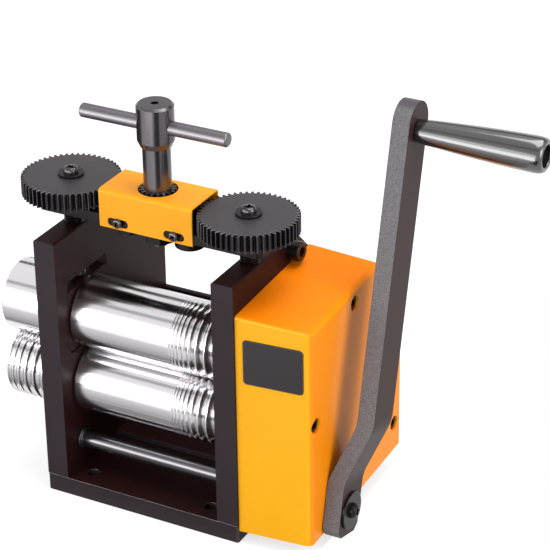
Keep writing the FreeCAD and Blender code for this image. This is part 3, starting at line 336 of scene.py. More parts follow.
def worked_surface_group():
    """Grain that shifts colour, gloss and height; stretched to suit paint or machined metal."""
    if "Worked Surface" in bpy.data.node_groups:
        return bpy.data.node_groups["Worked Surface"]
    inputs = [(socket, "Vector" if key == "stretch" else "Float", value)
              for key, (socket, value) in SURFACE.items()]
    tree = new_group("Worked Surface", [("Colour", "Color", (0.5, 0.5, 0.5, 1))] + inputs,
                     [("Colour", "Color"), ("Roughness", "Float"), ("Normal", "Vector")])
    enter = node_at(tree, "NodeGroupInput", -1000, 0).outputs
    place = node_at(tree, "ShaderNodeTexCoord", -1000, -300).outputs["Object"]
    stretch = node_at(tree, "ShaderNodeVectorMath", -780, -200, {
        0: place, 1: enter["Stretch"]}, operation="MULTIPLY")
    grain = node_at(tree, "ShaderNodeTexNoise", -560, -100, {
        "Vector": stretch.outputs[0], "Scale": enter["Grain Scale"], "Detail": 3.0})
    patch = node_at(tree, "ShaderNodeTexNoise", -560, -380, {
        "Vector": place, "Scale": enter["Patch Scale"], "Detail": 2.0})
    both = node_at(tree, "ShaderNodeMath", -340, -220, {
        0: grain.outputs["Fac"], 1: patch.outputs["Fac"]}, operation="ADD")
    centred = node_at(tree, "ShaderNodeMath", -180, -220, {
        0: both.outputs[0], 1: 1.0}, operation="SUBTRACT").outputs[0]
    tone = node_at(tree, "ShaderNodeMath", 0, 120, {
        0: centred, 1: enter["Tone Change"], 2: 1.0}, operation="MULTIPLY_ADD")
    shade = node_at(tree, "ShaderNodeVectorMath", 200, 160, operation="SCALE")
    feed(tree, shade, {0: enter["Colour"], "Scale": tone.outputs[0]})
    gloss = node_at(tree, "ShaderNodeMath", 0, -60, {
        0: centred, 1: enter["Roughness Change"], 2: enter["Roughness"]},
        operation="MULTIPLY_ADD", use_clamp=True)
    bump = node_at(tree, "ShaderNodeBump", 300, -260, {
        "Distance": 0.0003, "Strength": enter["Grain Height"], "Height": grain.outputs["Fac"]})
    node_at(tree, "NodeGroupOutput", 700, 0, {
        "Colour": shade.outputs[0], "Roughness": gloss.outputs[0], "Normal": bump.outputs[0]})
    return tree


def facing_group():
    """Mask that is 1 where a surface faces along an axis, either way, and 0 across it."""
    if "Facing" in bpy.data.node_groups:
        return bpy.data.node_groups["Facing"]
    tree = new_group("Facing", [("Axis", "Vector", (1, 0, 0)), ("Start", "Float", 0.55),
                                ("End", "Float", 0.85)], [("Mask", "Float")])
    enter = node_at(tree, "NodeGroupInput", -600, 0).outputs
    normal = node_at(tree, "ShaderNodeTexCoord", -600, -200).outputs["Normal"]
    along = node_at(tree, "ShaderNodeVectorMath", -360, 0, {
        0: normal, 1: enter["Axis"]}, operation="DOT_PRODUCT")
    size = node_at(tree, "ShaderNodeMath", -160, 0, {
        0: along.outputs["Value"]}, operation="ABSOLUTE")
    mask = node_at(tree, "ShaderNodeMapRange", 100, 0, {
        "Value": size.outputs[0], "From Min": enter["Start"], "From Max": enter["End"]},
        interpolation_type="SMOOTHSTEP")
    node_at(tree, "NodeGroupOutput", 500, 0, {"Mask": mask.outputs[0]})
    return tree


FEEDS = (("Base Color", "Colour", "RGBA"), ("Roughness", "Roughness", "FLOAT"),
         ("Normal", "Normal", "VECTOR"))    # shader's socket, group's output, kind of mix


def worked(tree, y, colour, values):
    """Outputs of a worked surface node, plain where no value is given."""
    inputs = {SURFACE[key][0]: value for key, value in values.items()}
    return node_at(tree, "ShaderNodeGroup", -700, y, {"Colour": (*colour, 1), **inputs},
                   node_tree=worked_surface_group()).outputs


def new_material(name, inputs):
    """A material with one Principled shader: its tree and the shader."""
    material = bpy.data.materials.new(name)
    material.use_nodes = True
    tree = material.node_tree
    shader = tree.nodes["Principled BSDF"]
    feed(tree, shader, inputs)
    return material, tree, shader


def finish(name, colour, metallic=0.0, coat=0.0, coat_rough=0.1, specular=0.5, facing=(),
           ground=0.0, **values):
    """A material: one Principled shader fed by the worked surface.

    facing holds (axis, colour, values) for faces along an axis that differ from the rest;
    ground is how far reflections spread along X, as on a bar ground round about X."""
    if name in bpy.data.materials:
        return bpy.data.materials[name]
    material, tree, shader = new_material(name, {
        "Metallic": metallic, "Coat Weight": coat, "Coat Roughness": coat_rough,
        "Specular IOR Level": specular})
    surface = worked(tree, 200, colour, values)
    feeds = {socket: surface[output] for socket, output, kind in FEEDS}
    for row, (axis, other_colour, other_values) in enumerate(facing):
        other = worked(tree, -200 - 400 * row, other_colour, {**values, **other_values})
        mask = node_at(tree, "ShaderNodeGroup", -700, 500 + 200 * row, {"Axis": axis},
                       node_tree=facing_group())
        for at, (socket, output, kind) in enumerate(FEEDS):
            mix = node_at(tree, "ShaderNodeMix", 250 * row - 350, 200 - 220 * at,
                          data_type=kind)
            starts = (mask.outputs["Mask"], feeds[socket], other[output])
            for start, end in zip(starts, [k for k in mix.inputs if k.enabled]):
                tree.links.new(start, end)
            feeds[socket] = [k for k in mix.outputs if k.enabled][0]
    feed(tree, shader, feeds)
    if ground:
        tangent = node_at(tree, "ShaderNodeTangent", -350, -600, direction_type="RADIAL",
                          axis="X")
        feed(tree, shader, {"Tangent": tangent.outputs[0], "Anisotropic": ground,
                            "Anisotropic Rotation": 0.25})
    return material


def finishes():
    """The mill's materials by name, with colours from the panel."""
    paint = bpy.context.scene.mill_finish
    across = (0.02, 1, 1)
    around = (1, 0.03, 0.03)
    arm_axis = (0, math.sin(CRANK_LEAN), math.cos(CRANK_LEAN))
    smooth = {"tone": 0.15, "height": 0.1, "rough_change": 0.08}
    enamel = {"tone": 0.05, "grain": 260.0, "patch": 18.0, "rough": 0.38, "rough_change": 0.08,
              "height": 0.06}
    return {
        # The plates' other faces take the painted shade and reflection; the faces towards the
        # front and back take the plate paint.
        "plate": finish("plate_paint", paint.plate_side_painted_shade, tone=0.25, grain=1400.0,
                        rough_change=0.12, height=0.2, specular=0.08,
                        facing=[((0, 1, 0), paint.plate_paint, {"rough": 0.5})]),
        "worn_edge": finish("worn_edge", (0.30, 0.28, 0.29), tone=0.5, grain=300.0, rough=0.3,
                            height=0.05, metallic=0.6),
        # Painted glints: lighter bevels on the gear teeth stand in for the light that their edges
        # catch.
        "painted_tooth_glint": finish("painted_tooth_glint", (0.085, 0.08, 0.085), tone=0.4, grain=500.0,
                             rough=0.16, rough_change=0.05, height=0.03, metallic=0.85),
        # The case's enamel is mixed by facing: painted light on the front and back faces, painted
        # shade on the faces that look up or down.
        "enamel": finish("case_enamel", paint.case_enamel, coat=0.18, coat_rough=0.12,
                         specular=0.08, facing=[((0, 1, 0), paint.case_front_lit, {}),
                                                ((0, 0, 1), paint.case_top_shaded, {})], **enamel),
        # The cover's front and back faces take painted light.
        "cover": finish("cover_enamel", paint.cover_enamel, coat=0.05, specular=0.14,
                        facing=[((0, 1, 0), paint.cover_front_lit, {})], **enamel),
        "roll": finish("ground_roll", paint.roll_steel, tone=0.06, grain=900.0, stretch=around,
                       patch=30.0, rough=0.16, rough_change=0.03, height=0.004, metallic=1.0,
                       ground=0.8),
        "gear": finish("oiled_gear", paint.gear_tooth, tone=0.3, grain=500.0, rough=0.13,
                       rough_change=0.04, height=0.02, metallic=0.7, specular=0.3,
                       facing=[((0, 0, 1), paint.gear_steel, {"rough": 0.42, "height": 0.12})]),
        "dark": finish("handle_steel", paint.handle_steel, tone=0.2, grain=700.0,
                       stretch=(1, 1, 0.08), rough=0.2, rough_change=0.08, height=0.04,
                       metallic=0.95),
        "bar": finish("bar_steel", (0.17, 0.16, 0.172), tone=0.2, grain=600.0, stretch=across,
                      rough=0.34, rough_change=0.12, height=0.08, metallic=0.85),
        "oiled_screw": finish("oiled_screw", (0.078, 0.071, 0.076), tone=0.2, grain=900.0,
                              rough=0.15, rough_change=0.06, height=0.06, metallic=0.85),
        "black_screw": finish("black_oxide", (0.012, 0.009, 0.010), tone=0.2, grain=900.0,
                              rough=0.25, rough_change=0.08, height=0.06, metallic=0.4,
                              specular=0.25),
        "rod": finish("tie_rod_steel", (0.13, 0.12, 0.13), tone=0.15, grain=700.0,
                      stretch=across, rough=0.17, rough_change=0.05, height=0.02, metallic=0.9,
                      specular=0.6),
        "thread": finish("oiled_thread", (0.035, 0.030, 0.030), tone=0.2, grain=700.0,
                         rough=0.24, height=0.05, metallic=0.9),
        "bright": finish("turned_steel", (0.50, 0.49, 0.48), tone=0.12, grain=700.0,
                         stretch=(1, 1, 0.05), rough=0.28, height=0.08, metallic=1.0),
        "bronze": finish("bearing_bronze", (0.55, 0.33, 0.12), tone=0.15, grain=500.0,
                         rough=0.3, height=0.05, metallic=1.0),
        "crank": finish("hammered_paint", paint.crank_paint, tone=1.3, grain=1100.0,
                        patch=1900.0, rough_change=0.3, height=1.0, specular=0.12,
                        facing=[(arm_axis, paint.crank_end, smooth),
                                ((1, 0, 0), paint.crank_face, smooth)]),
        "grip": finish("grip_plastic", paint.grip_colour, grain=300.0, rough=0.2,
                       rough_change=0.03, height=0.008, coat=1.0, coat_rough=0.12,
                       specular=1.0),
        "label": finish("label_print", (0.024, 0.020, 0.023), grain=900.0, rough=0.3,
                        rough_change=0.08, height=0.03, specular=0.3),
        "label_rim": finish("label_rim", (0.028, 0.014, 0.010), tone=0.08, grain=900.0,
                            rough=0.35, rough_change=0.05, height=0.02),
    }


# ---- shapes


def place_mesh(mesh, name, material, node, round_edges, sharp, segments=2, edge_wear_and_glint=None,
               stands_in=True):
    """A mesh in metres as a finished piece: on a node's body, and in its place if it stands in."""
    piece = bpy.data.objects.new(name, mesh)
    bpy.context.scene.collection.objects.link(piece)
    mesh.materials.clear()
    mesh.materials.append(material)
    mesh.shade_smooth()
    mesh.set_sharp_from_angle(angle=math.radians(sharp))
    if round_edges > 0:
        bevel = piece.modifiers.new("edges", "BEVEL")
        bevel.width = round_edges * MM
        bevel.segments = segments
        bevel.limit_method = "ANGLE"
        bevel.angle_limit = math.radians(sharp)
        # Bevel faces take a second finish: real wear on the base plate, painted glints on the gear
        # teeth.
        if edge_wear_and_glint:
            mesh.materials.append(edge_wear_and_glint)
            bevel.material = 1
        even = piece.modifiers.new("normals", "WEIGHTED_NORMAL")
        even.keep_sharp = True
    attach(piece, BODY_OF[node])
    if stands_in:
        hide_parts(node)


def put_piece(bm, name, material, node, round_edges=0.0, sharp=32.0, merge=0.0005,
              stands_in=True):
    """Turns a bmesh in mm into a finished piece."""
    bmesh.ops.remove_doubles(bm, verts=bm.verts[:], dist=merge)
    bmesh.ops.recalc_face_normals(bm, faces=bm.faces[:])
    bmesh.ops.scale(bm, vec=(MM, MM, MM), verts=bm.verts[:])
    mesh = bpy.data.meshes.new(name)
    bm.to_mesh(mesh)
    bm.free()
    place_mesh(mesh, name, material, node, round_edges, sharp, stands_in=stands_in)


def dress(node, material, round_edges=0.0, segments=2, flat_angle=0.4, edge_wear_and_glint=None):
    """A merged copy of a node with rounded edges, standing in its place."""
    bm = bmesh.new()
    bm.from_mesh(frame["nodes"][node].data)
    bmesh.ops.remove_doubles(bm, verts=bm.verts[:], dist=2e-6)
    bmesh.ops.dissolve_limit(bm, angle_limit=math.radians(flat_angle),
                             use_dissolve_boundaries=False, verts=bm.verts[:],
                             edges=bm.edges[:], delimit=set())
    mesh = bpy.data.meshes.new(node + "_dressed")
    bm.to_mesh(mesh)
    bm.free()
    place_mesh(mesh, node + "_dressed", material, node, round_edges, 32.0, segments, edge_wear_and_glint)


def dress_all(look, rows):
    """Dresses nodes given in rows of (finish, rounding, nodes)."""
    for key, round_edges, nodes in rows:
        for node in nodes:
            dress(node, look[key], round_edges)


AXES = {"X": (Vector((1, 0, 0)), Vector((0, 0, 1))), "Z": (Vector((0, 0, 1)), Vector((1, 0, 0)))}


def turn(bm, outline, axis, centre, steps=None, closed=False):
    """Spins an outline of (along, radius) points about an axis through the centre."""
    along, out = AXES[axis]
    middle = Vector(centre)
    verts = [bm.verts.new(middle + along * a + out * r) for a, r in outline]
    edges = [bm.edges.new(pair) for pair in zip(verts, verts[1:])]
    if closed:
        edges.append(bm.edges.new((verts[-1], verts[0])))
    bmesh.ops.spin(bm, geom=verts + edges, cent=middle, axis=along, dvec=(0, 0, 0),
                   angle=2 * math.pi, steps=steps or bpy.context.scene.mill_sizes.turn_steps,
                   use_merge=True, use_normal_flip=False, use_duplicate=False)


def turned_piece(name, outline, axis, centre, material, node, round_edges, steps=None,
                 closed=False, sharp=25.0):
    bm = bmesh.new()
    turn(bm, outline, axis, centre, steps, closed)
    put_piece(bm, name, material, node, round_edges, sharp)


def ring_outline(low, high, bore, radius):
    """Section of a plain ring, to be turned closed."""
    return [(low, bore), (low, radius), (high, radius), (high, bore)]


def head_with_recess(bm, outline, recess, depth, taper):
    """Screw head standing on z 0 with a recess of the given corner points in its flat top.

    The outline runs from the seat's centre to the rim of the flat top."""
    turn(bm, outline, "Z", (0, 0, 0), SCREW_STEPS)
    bmesh.ops.remove_doubles(bm, verts=bm.verts[:], dist=0.0005)
    top = outline[-1][0]
    rim = [e for e in bm.edges if e.is_boundary and abs(e.verts[0].co.z - top) < 0.001]
    corners = [bm.verts.new((x, y, top)) for x, y in recess]
    mouth = [bm.edges.new(pair) for pair in zip(corners, corners[1:] + corners[:1])]
    bmesh.ops.bridge_loops(bm, edges=rim + mouth)
    floor = bm.faces.new(corners)
    made = bmesh.ops.extrude_face_region(bm, geom=[floor])
    moved = [g for g in made["geom"] if isinstance(g, bmesh.types.BMVert)]
    bmesh.ops.translate(bm, vec=(0, 0, -depth), verts=moved)
    bmesh.ops.scale(bm, vec=(taper, taper, 1), verts=moved)
    if floor.is_valid:
        bmesh.ops.delete(bm, geom=[floor], context="FACES_ONLY")


def cross_points(arm, half):
    """Corners of a cross recess, counter-clockwise."""
    return [(arm, -half), (arm, half), (half, half), (half, arm), (-half, arm), (-half, half),
            (-arm, half), (-arm, -half), (-half, -half), (-half, -arm), (half, -arm),
            (half, -half)]


def hexagon_points(flats):
    corner = flats / math.sqrt(3)
    return [(corner * math.cos(math.radians(60 * i + 30)),
             corner * math.sin(math.radians(60 * i + 30))) for i in range(6)]


def pan_head(radius, height, arm, half, depth):
    """Pan head with a cross recess, as head_with_recess takes it."""
    return ([(0, 0), (0, radius), (height * 0.4, radius), (height * 0.72, radius * 0.93),
             (height * 0.93, radius * 0.78), (height, radius * 0.62)],
            cross_points(arm, half), depth, CROSS_TAPER)


def cap_head(radius, height, flats, depth):
    return ([(0, 0), (0, radius), (height - 0.5, radius), (height, radius - 0.5)],
            hexagon_points(flats), depth, HEXAGON_TAPER)


def countersunk_head(shank, radius, flats, depth, rim=0.05):
    cone = radius - shank
    return ([(0, 0), (0, shank), (cone, radius), (cone + rim, radius)],
            hexagon_points(flats), depth, HEXAGON_TAPER)


def aim(point, direction, spin):
    """Matrix that carries +Z at the origin to a direction at a point."""
    turn_to = Vector((0, 0, 1)).rotation_difference(Vector(direction)).to_matrix().to_4x4()
    return Matrix.Translation(Vector(point)) @ turn_to @ Matrix.Rotation(spin, 4, "Z")


def take_in(bm, part):
    """Adds a part that was built on its own to a piece."""
    mesh = bpy.data.meshes.new("part")
    part.to_mesh(mesh)
    part.free()
    bm.from_mesh(mesh)
    bpy.data.meshes.remove(mesh)


def add_screw(bm, seat, direction, length, radius, head, spin, steps=32):
    """Plain shank up to a seat, and a head on the seat."""
    shank = bmesh.new()
    bmesh.ops.create_cone(shank, cap_ends=True, cap_tris=False, segments=steps, radius1=radius,
                          radius2=radius, depth=length)
    bmesh.ops.translate(shank, vec=(0, 0, -length / 2), verts=shank.verts[:])
    top = bmesh.new()
    head_with_recess(top, *head)
    for part, turned in ((shank, 0.0), (top, spin)):
        bmesh.ops.transform(part, matrix=aim(seat, direction, turned), verts=part.verts[:])
        take_in(bm, part)


def add_thread(bm, centre, low, high, radius, pitch, depth, steps=36):
    """Closed screw thread about Z, cut flat at both ends."""
    part = bmesh.new()
    root = radius - depth
    verts = [part.verts.new((root + out * depth, 0, low - pitch + along * pitch))
             for along, out in THREAD_PROFILE]
    edges = [part.edges.new(pair) for pair in zip(verts, verts[1:])]
    turns = math.ceil((high - low) / pitch) + 1
    bmesh.ops.spin(part, geom=verts + edges, cent=(0, 0, 0), axis=(0, 0, 1),
                   dvec=(0, 0, pitch / steps), angle=2 * math.pi * turns, steps=steps * turns,
                   use_merge=False, use_normal_flip=False, use_duplicate=False)
    bmesh.ops.remove_doubles(part, verts=part.verts[:], dist=0.001)
    for height, side in ((low, -1), (high, 1)):
        cut = bmesh.ops.bisect_plane(part, geom=part.verts[:] + part.edges[:] + part.faces[:],
                                     plane_co=(0, 0, height), plane_no=(0, 0, side),
                                     clear_outer=True, clear_inner=False, dist=1e-5)
        rim = [g for g in cut["geom_cut"] if isinstance(g, bmesh.types.BMEdge)]
        bmesh.ops.holes_fill(part, edges=rim, sides=0)
    bmesh.ops.translate(part, vec=centre, verts=part.verts[:])
    take_in(bm, part)


# ---- pieces


class MILL_OT_frame_plates(bpy.types.Operator):
    """Base, side plates, back plate, bearing blocks, tie rods and the frame's screws."""

    bl_idname = "mill.frame_plates"
    bl_label = "Frame plates"

    def execute(self, context):
        look = finishes()
        edge = context.scene.mill_sizes.edge_round
        dress("base_plate", look["plate"], edge, edge_wear_and_glint=look["worn_edge"])
        dress_all(look, (
            ("plate", edge, ("side_plate_left", "side_plate_right", "back_angle",
                             "bearing_block_left", "bearing_block_right")),
            ("rod", 0.3, ("front_tie_rod", "rear_tie_rod")),
            ("black_screw", 0.2, ("frame_screws", "foot_screws")),
        ))
        bm = bmesh.new()
        for side in (-1, 1):
            for y, z, radius in TIE_SCREWS:
                add_screw(bm, (side * PLATE_OUTER, y, z), (side, 0, 0), TIE_SCREW_LENGTH, radius,
                          cap_head(1.6 * radius, 2 * radius, 1.5 * radius, radius), 0.3)
        put_piece(bm, "tie_rod_cap_screws", look["black_screw"], "tie_rod_screws", 0.2)
        return {"FINISHED"}


def wire_grooves():
    """V grooves in a roll, each wider than the last."""
    points = []
    x = WIRE_START
    for width in WIRE_WIDTHS:
        points += [(x, ROLL_RADIUS), (x + width / 2, ROLL_RADIUS - width / 2),
                   (x + width, ROLL_RADIUS)]
        x += width + WIRE_LAND
    return points


def ring_grooves():
    """Rounded grooves in a ring roller, each wider than the last."""
    points = []
    x = RING_LEFT + RING_LAND
    for width in RING_WIDTHS:
        depth = RING_DEPTH * width
        for step in range(RING_STEPS + 1):
            t = step / RING_STEPS
            points.append((x + width * t, ROLL_RADIUS - depth * (1 - (2 * t - 1) ** 2) ** 0.75))
        x += width + RING_LAND
    return points


class MILL_OT_rolls(bpy.types.Operator):
    """Both rolls, the ring rollers and their end screws."""

    bl_idname = "mill.rolls"
    bl_label = "Rolls"

    def execute(self, context):
        look = finishes()
        barrel = [(STUB_LEFT, 0), (STUB_LEFT, STUB_RADIUS), (-JOURNAL_END, STUB_RADIUS),
                  (-JOURNAL_END, JOURNAL_RADIUS), (-ROLL_END, JOURNAL_RADIUS),
                  (-ROLL_END, ROLL_RADIUS - ROLL_CHAMFER),
                  (-ROLL_END + ROLL_CHAMFER, ROLL_RADIUS)]
        barrel += wire_grooves()
        barrel += [(ROLL_END - ROLL_CHAMFER, ROLL_RADIUS),
                   (ROLL_END, ROLL_RADIUS - ROLL_CHAMFER), (ROLL_END, JOURNAL_RADIUS),
                   (JOURNAL_END, JOURNAL_RADIUS), (JOURNAL_END, STUB_RADIUS),
                   (STUB_RIGHT, STUB_RADIUS), (STUB_RIGHT, 0)]
        for word, z, grooves in (("upper", UPPER_Z, []), ("lower", LOWER_Z, ring_grooves())):
            centre = (0, ROLL_Y, z)
            turned_piece(word + "_roll_ground", barrel, "X", centre, look["roll"],
                         word + "_roll", 0.12)
            ring = [(RING_SEAT, RING_BORE), (RING_SEAT, RING_RECESS), (RING_LEFT, RING_RECESS),
                    (RING_LEFT, ROLL_RADIUS - RING_CHAMFER),
                    (RING_LEFT + RING_CHAMFER, ROLL_RADIUS)]
            ring += grooves
            ring += [(-JOURNAL_END - RING_CHAMFER, ROLL_RADIUS),
                     (-JOURNAL_END, ROLL_RADIUS - RING_CHAMFER), (-JOURNAL_END, RING_BORE)]
            turned_piece(word + "_ring_roller", ring, "X", centre, look["roll"], word + "_ring",
                         0.2, closed=True)
            discs, screws = bmesh.new(), bmesh.new()
            for side, inner in ((-1, RING_SEAT), (1, END_SEAT_RIGHT)):
                seat = inner + side * END_WASHER
                turn(discs, ring_outline(min(inner, seat), max(inner, seat), END_SCREW_RADIUS,
                                         END_WASHER_RADIUS), "X", centre, SPIN_STEPS, True)
                add_screw(screws, (seat, ROLL_Y, z), (side, 0, 0), END_SCREW_LENGTH,
                          END_SCREW_RADIUS, cap_head(6.5, 6.0, 6.5, 3.0), 0.2)
            put_piece(discs, word + "_end_discs", look["black_screw"], word + "_end_washers",
                      0.25)
            put_piece(screws, word + "_end_cap_screws", look["black_screw"],
                      word + "_end_screws", 0.3)
        return {"FINISHED"}


class MILL_OT_gear_case(bpy.types.Operator):
    """Gear case, its screws and the blank label."""

    bl_idname = "mill.gear_case"
    bl_label = "Gear case"

    def execute(self, context):
        look = finishes()
        dress("housing", look["enamel"], 0.3, flat_angle=0.3)
        bm = bmesh.new()
        for y, z in CASE_SCREWS:
            add_screw(bm, (CASE_SCREW_SEAT, y, z), (1, 0, 0), CASE_SCREW_LENGTH,
                      CASE_SCREW_RADIUS,
                      countersunk_head(CASE_SCREW_RADIUS, CASE_HEAD_RADIUS, 4.4, 2.1), 0.2)
        put_piece(bm, "case_screws", look["black_screw"], "housing_screws", 0.15)
        self.label(context, look)
        return {"FINISHED"}

    def label(self, context, look):
        """A rim and a plate in it, sheared to lie along the drafted front of the case."""
        thick = context.scene.mill_sizes.label_thickness
        shear = Matrix.Identity(4)
        shear[1][0] = CASE_DRAFT / (CASE_END - PLATE_OUTER)
        for name, margin, rise, material in (("label_edge", 0.0, 0.0, look["label_rim"]),
                                             ("label_plate", 0.8, 0.12, look["label"])):
            x0, x1 = LABEL_X[0] + margin, LABEL_X[1] - margin
            z0, z1 = LABEL_Z[0] + margin, LABEL_Z[1] - margin
            bm = bmesh.new()
            corners = [bm.verts.new((x, 0, z))
                       for x, z in ((x0, z0), (x1, z0), (x1, z1), (x0, z1))]
            bm.faces.new(corners)
            bmesh.ops.bevel(bm, geom=corners, offset=LABEL_CORNER - margin,
                            offset_type="OFFSET", affect="VERTICES", segments=6, profile=0.5,
                            material=-1)
            made = bmesh.ops.extrude_face_region(bm, geom=bm.faces[:])
            moved = [g for g in made["geom"] if isinstance(g, bmesh.types.BMVert)]
            bmesh.ops.translate(bm, vec=(0, -thick - LABEL_BURIED, 0), verts=moved)
            bmesh.ops.translate(bm, vec=(-PLATE_OUTER, 0, 0), verts=bm.verts[:])
            bmesh.ops.transform(bm, matrix=shear, verts=bm.verts[:])
            bmesh.ops.translate(bm, vec=(PLATE_OUTER, CASE_FRONT + LABEL_BURIED - rise, 0),
                                verts=bm.verts[:])
            put_piece(bm, name, material, "housing", 0.12, stands_in=False)


class MILL_OT_screw_down(bpy.types.Operator):
    """Bridge bar, gear cover, gears, nuts and adjusting screws."""

    bl_idname = "mill.screw_down"
    bl_label = "Screw-down"

    def execute(self, context):
        look = finishes()
        sizes = context.scene.mill_sizes
        dress("bridge_bar", look["black_screw"], 0.5)
        dress("gear_cover", look["cover"], 0.2)
        for word in ("left", "right"):
            # The teeth's bevels take the painted glint finish.
            dress("screw_gear_" + word, look["gear"], 0.28, edge_wear_and_glint=look["painted_tooth_glint"])
            dress("idler_gear_" + word, look["gear"], 0.18)
        dress_all(look, (
            ("black_screw", 0.4, ("idler_nut_left", "idler_nut_right", "handle_washer",
                                  "handle_nut")),
            ("bright", 0.2, ("idler_pins", "idler_spacers")),
        ))
        self.cover_screws(look)
        for side, word in ((-1, "left"), (1, "right")):
            self.gear_screw(side * SCREW_X, side, word, look)
            self.adjusting_screw(side * SCREW_X, word, look, sizes)
        return {"FINISHED"}

    def cover_screws(self, look):
        bm = bmesh.new()
        for side in (-1, 1):
            for face in (-1, 1):
                seat = (side * COVER_SCREW_X, ROLL_Y + face * COVER_SCREW_SEAT,
                        (BRIDGE_LOW + BRIDGE_TOP) / 2)
                add_screw(bm, seat, (0, face, 0), COVER_SCREW_LENGTH, COVER_SCREW_RADIUS,
                          pan_head(3.2, 2.0, 1.6, 0.42, 1.2), 0.5 * side, 20)
        put_piece(bm, "cover_pan_screws", look["oiled_screw"], "cover_screws")

    def gear_screw(self, x, side, word, look):
        """Washer and pan head screw on top of a screw gear."""
        seat = GEAR_TOP + GEAR_WASHER
        turned_piece("gear_disc_" + word,
                     ring_outline(GEAR_TOP, seat, GEAR_SCREW_RADIUS, GEAR_WASHER_RADIUS), "Z",
                     (x, ROLL_Y, 0), look["black_screw"], "gear_washer_" + word, 0.3,
                     SPIN_STEPS, True)
        bm = bmesh.new()
        add_screw(bm, (x, ROLL_Y, seat), (0, 0, 1), GEAR_SCREW_LENGTH, GEAR_SCREW_RADIUS,
                  pan_head(4.8, 3.4, 2.4, 0.55, 1.9), 0.4 * side, 24)
        put_piece(bm, "gear_pan_screw_" + word, look["oiled_screw"], "gear_screw_" + word)

    def adjusting_screw(self, x, word, look, sizes):
        """Plain in the side plate, threaded up to the bar, with a neck and stub for the gear."""
        place = (x, ROLL_Y, 0)
        thread_top = BRIDGE_LOW - BRIDGE_GAP
        neck_top = BRIDGE_TOP + BRIDGE_GAP
        bm = bmesh.new()
        turn(bm, [(SCREW_LOW, 0), (SCREW_LOW, SCREW_POINT),
                  (SCREW_LOW + SCREW_RADIUS - SCREW_POINT, SCREW_RADIUS),
                  (THREAD_LOW, SCREW_RADIUS), (THREAD_LOW, 0)], "Z", place, SCREW_STEPS)
        add_thread(bm, place, THREAD_LOW, thread_top, SCREW_RADIUS, sizes.thread_pitch,
                   sizes.thread_depth)
        turn(bm, [(thread_top, 0), (thread_top, SCREW_NECK), (neck_top, SCREW_NECK),
                  (neck_top, SCREW_STUB), (GEAR_TOP, SCREW_STUB), (GEAR_TOP, 0)], "Z", place,
             SCREW_STEPS)
        put_piece(bm, "threaded_screw_" + word, look["thread"], "adjusting_screw_" + word,
                  sharp=25.0, merge=0.00005)


class MILL_OT_t_handle(bpy.types.Operator):
    """T-handle: pinion, shank, hub and cross bar."""

    bl_idname = "mill.t_handle"
    bl_label = "T-handle"

    def execute(self, context):
        look = finishes()
        bm = bmesh.new()
        bm.from_mesh(frame["nodes"]["handle_shaft"].data)
        bmesh.ops.scale(bm, vec=(1 / MM,) * 3, verts=bm.verts[:])
        bmesh.ops.remove_doubles(bm, verts=bm.verts[:], dist=0.002)
        cut = bmesh.ops.bisect_plane(bm, geom=bm.verts[:] + bm.edges[:] + bm.faces[:],
                                     plane_co=(0, 0, PINION_TOP), plane_no=(0, 0, 1),
                                     dist=0.001, clear_outer=True, clear_inner=False)
        rim = [g for g in cut["geom_cut"] if isinstance(g, bmesh.types.BMEdge)]
        bmesh.ops.holes_fill(bm, edges=[e for e in rim if e.is_boundary], sides=0)
        turn(bm, [(PINION_TOP, 0), (PINION_TOP, SHANK_RADIUS), (HUB_LOW, SHANK_RADIUS),
                  (HUB_LOW, HUB_FOOT_RADIUS), (HUB_LOW + HUB_TAPER, HUB_RADIUS),
                  (HUB_TOP - HUB_CHAMFER, HUB_RADIUS), (HUB_TOP, HUB_RADIUS - HUB_CHAMFER),
                  (HUB_TOP, HUB_HOLE), (HUB_TOP - HUB_HOLE_DEPTH, HUB_HOLE),
                  (HUB_TOP - HUB_HOLE_DEPTH, 0)], "Z", (0, ROLL_Y, 0), 96)
        put_piece(bm, "handle_hub", look["dark"], "handle_shaft", 0.18, sharp=25.0)
        end = BAR_RADIUS - BAR_CHAMFER
        turned_piece("handle_cross_bar", [
            (BAR_LEFT, 0), (BAR_LEFT, end), (BAR_LEFT + BAR_CHAMFER, BAR_RADIUS),
            (BAR_RIGHT - BAR_CHAMFER, BAR_RADIUS), (BAR_RIGHT, end), (BAR_RIGHT, 0),
        ], "X", (0, ROLL_Y, BAR_Z), look["bar"], "handle_bar", 0.3, SPIN_STEPS)
        return {"FINISHED"}


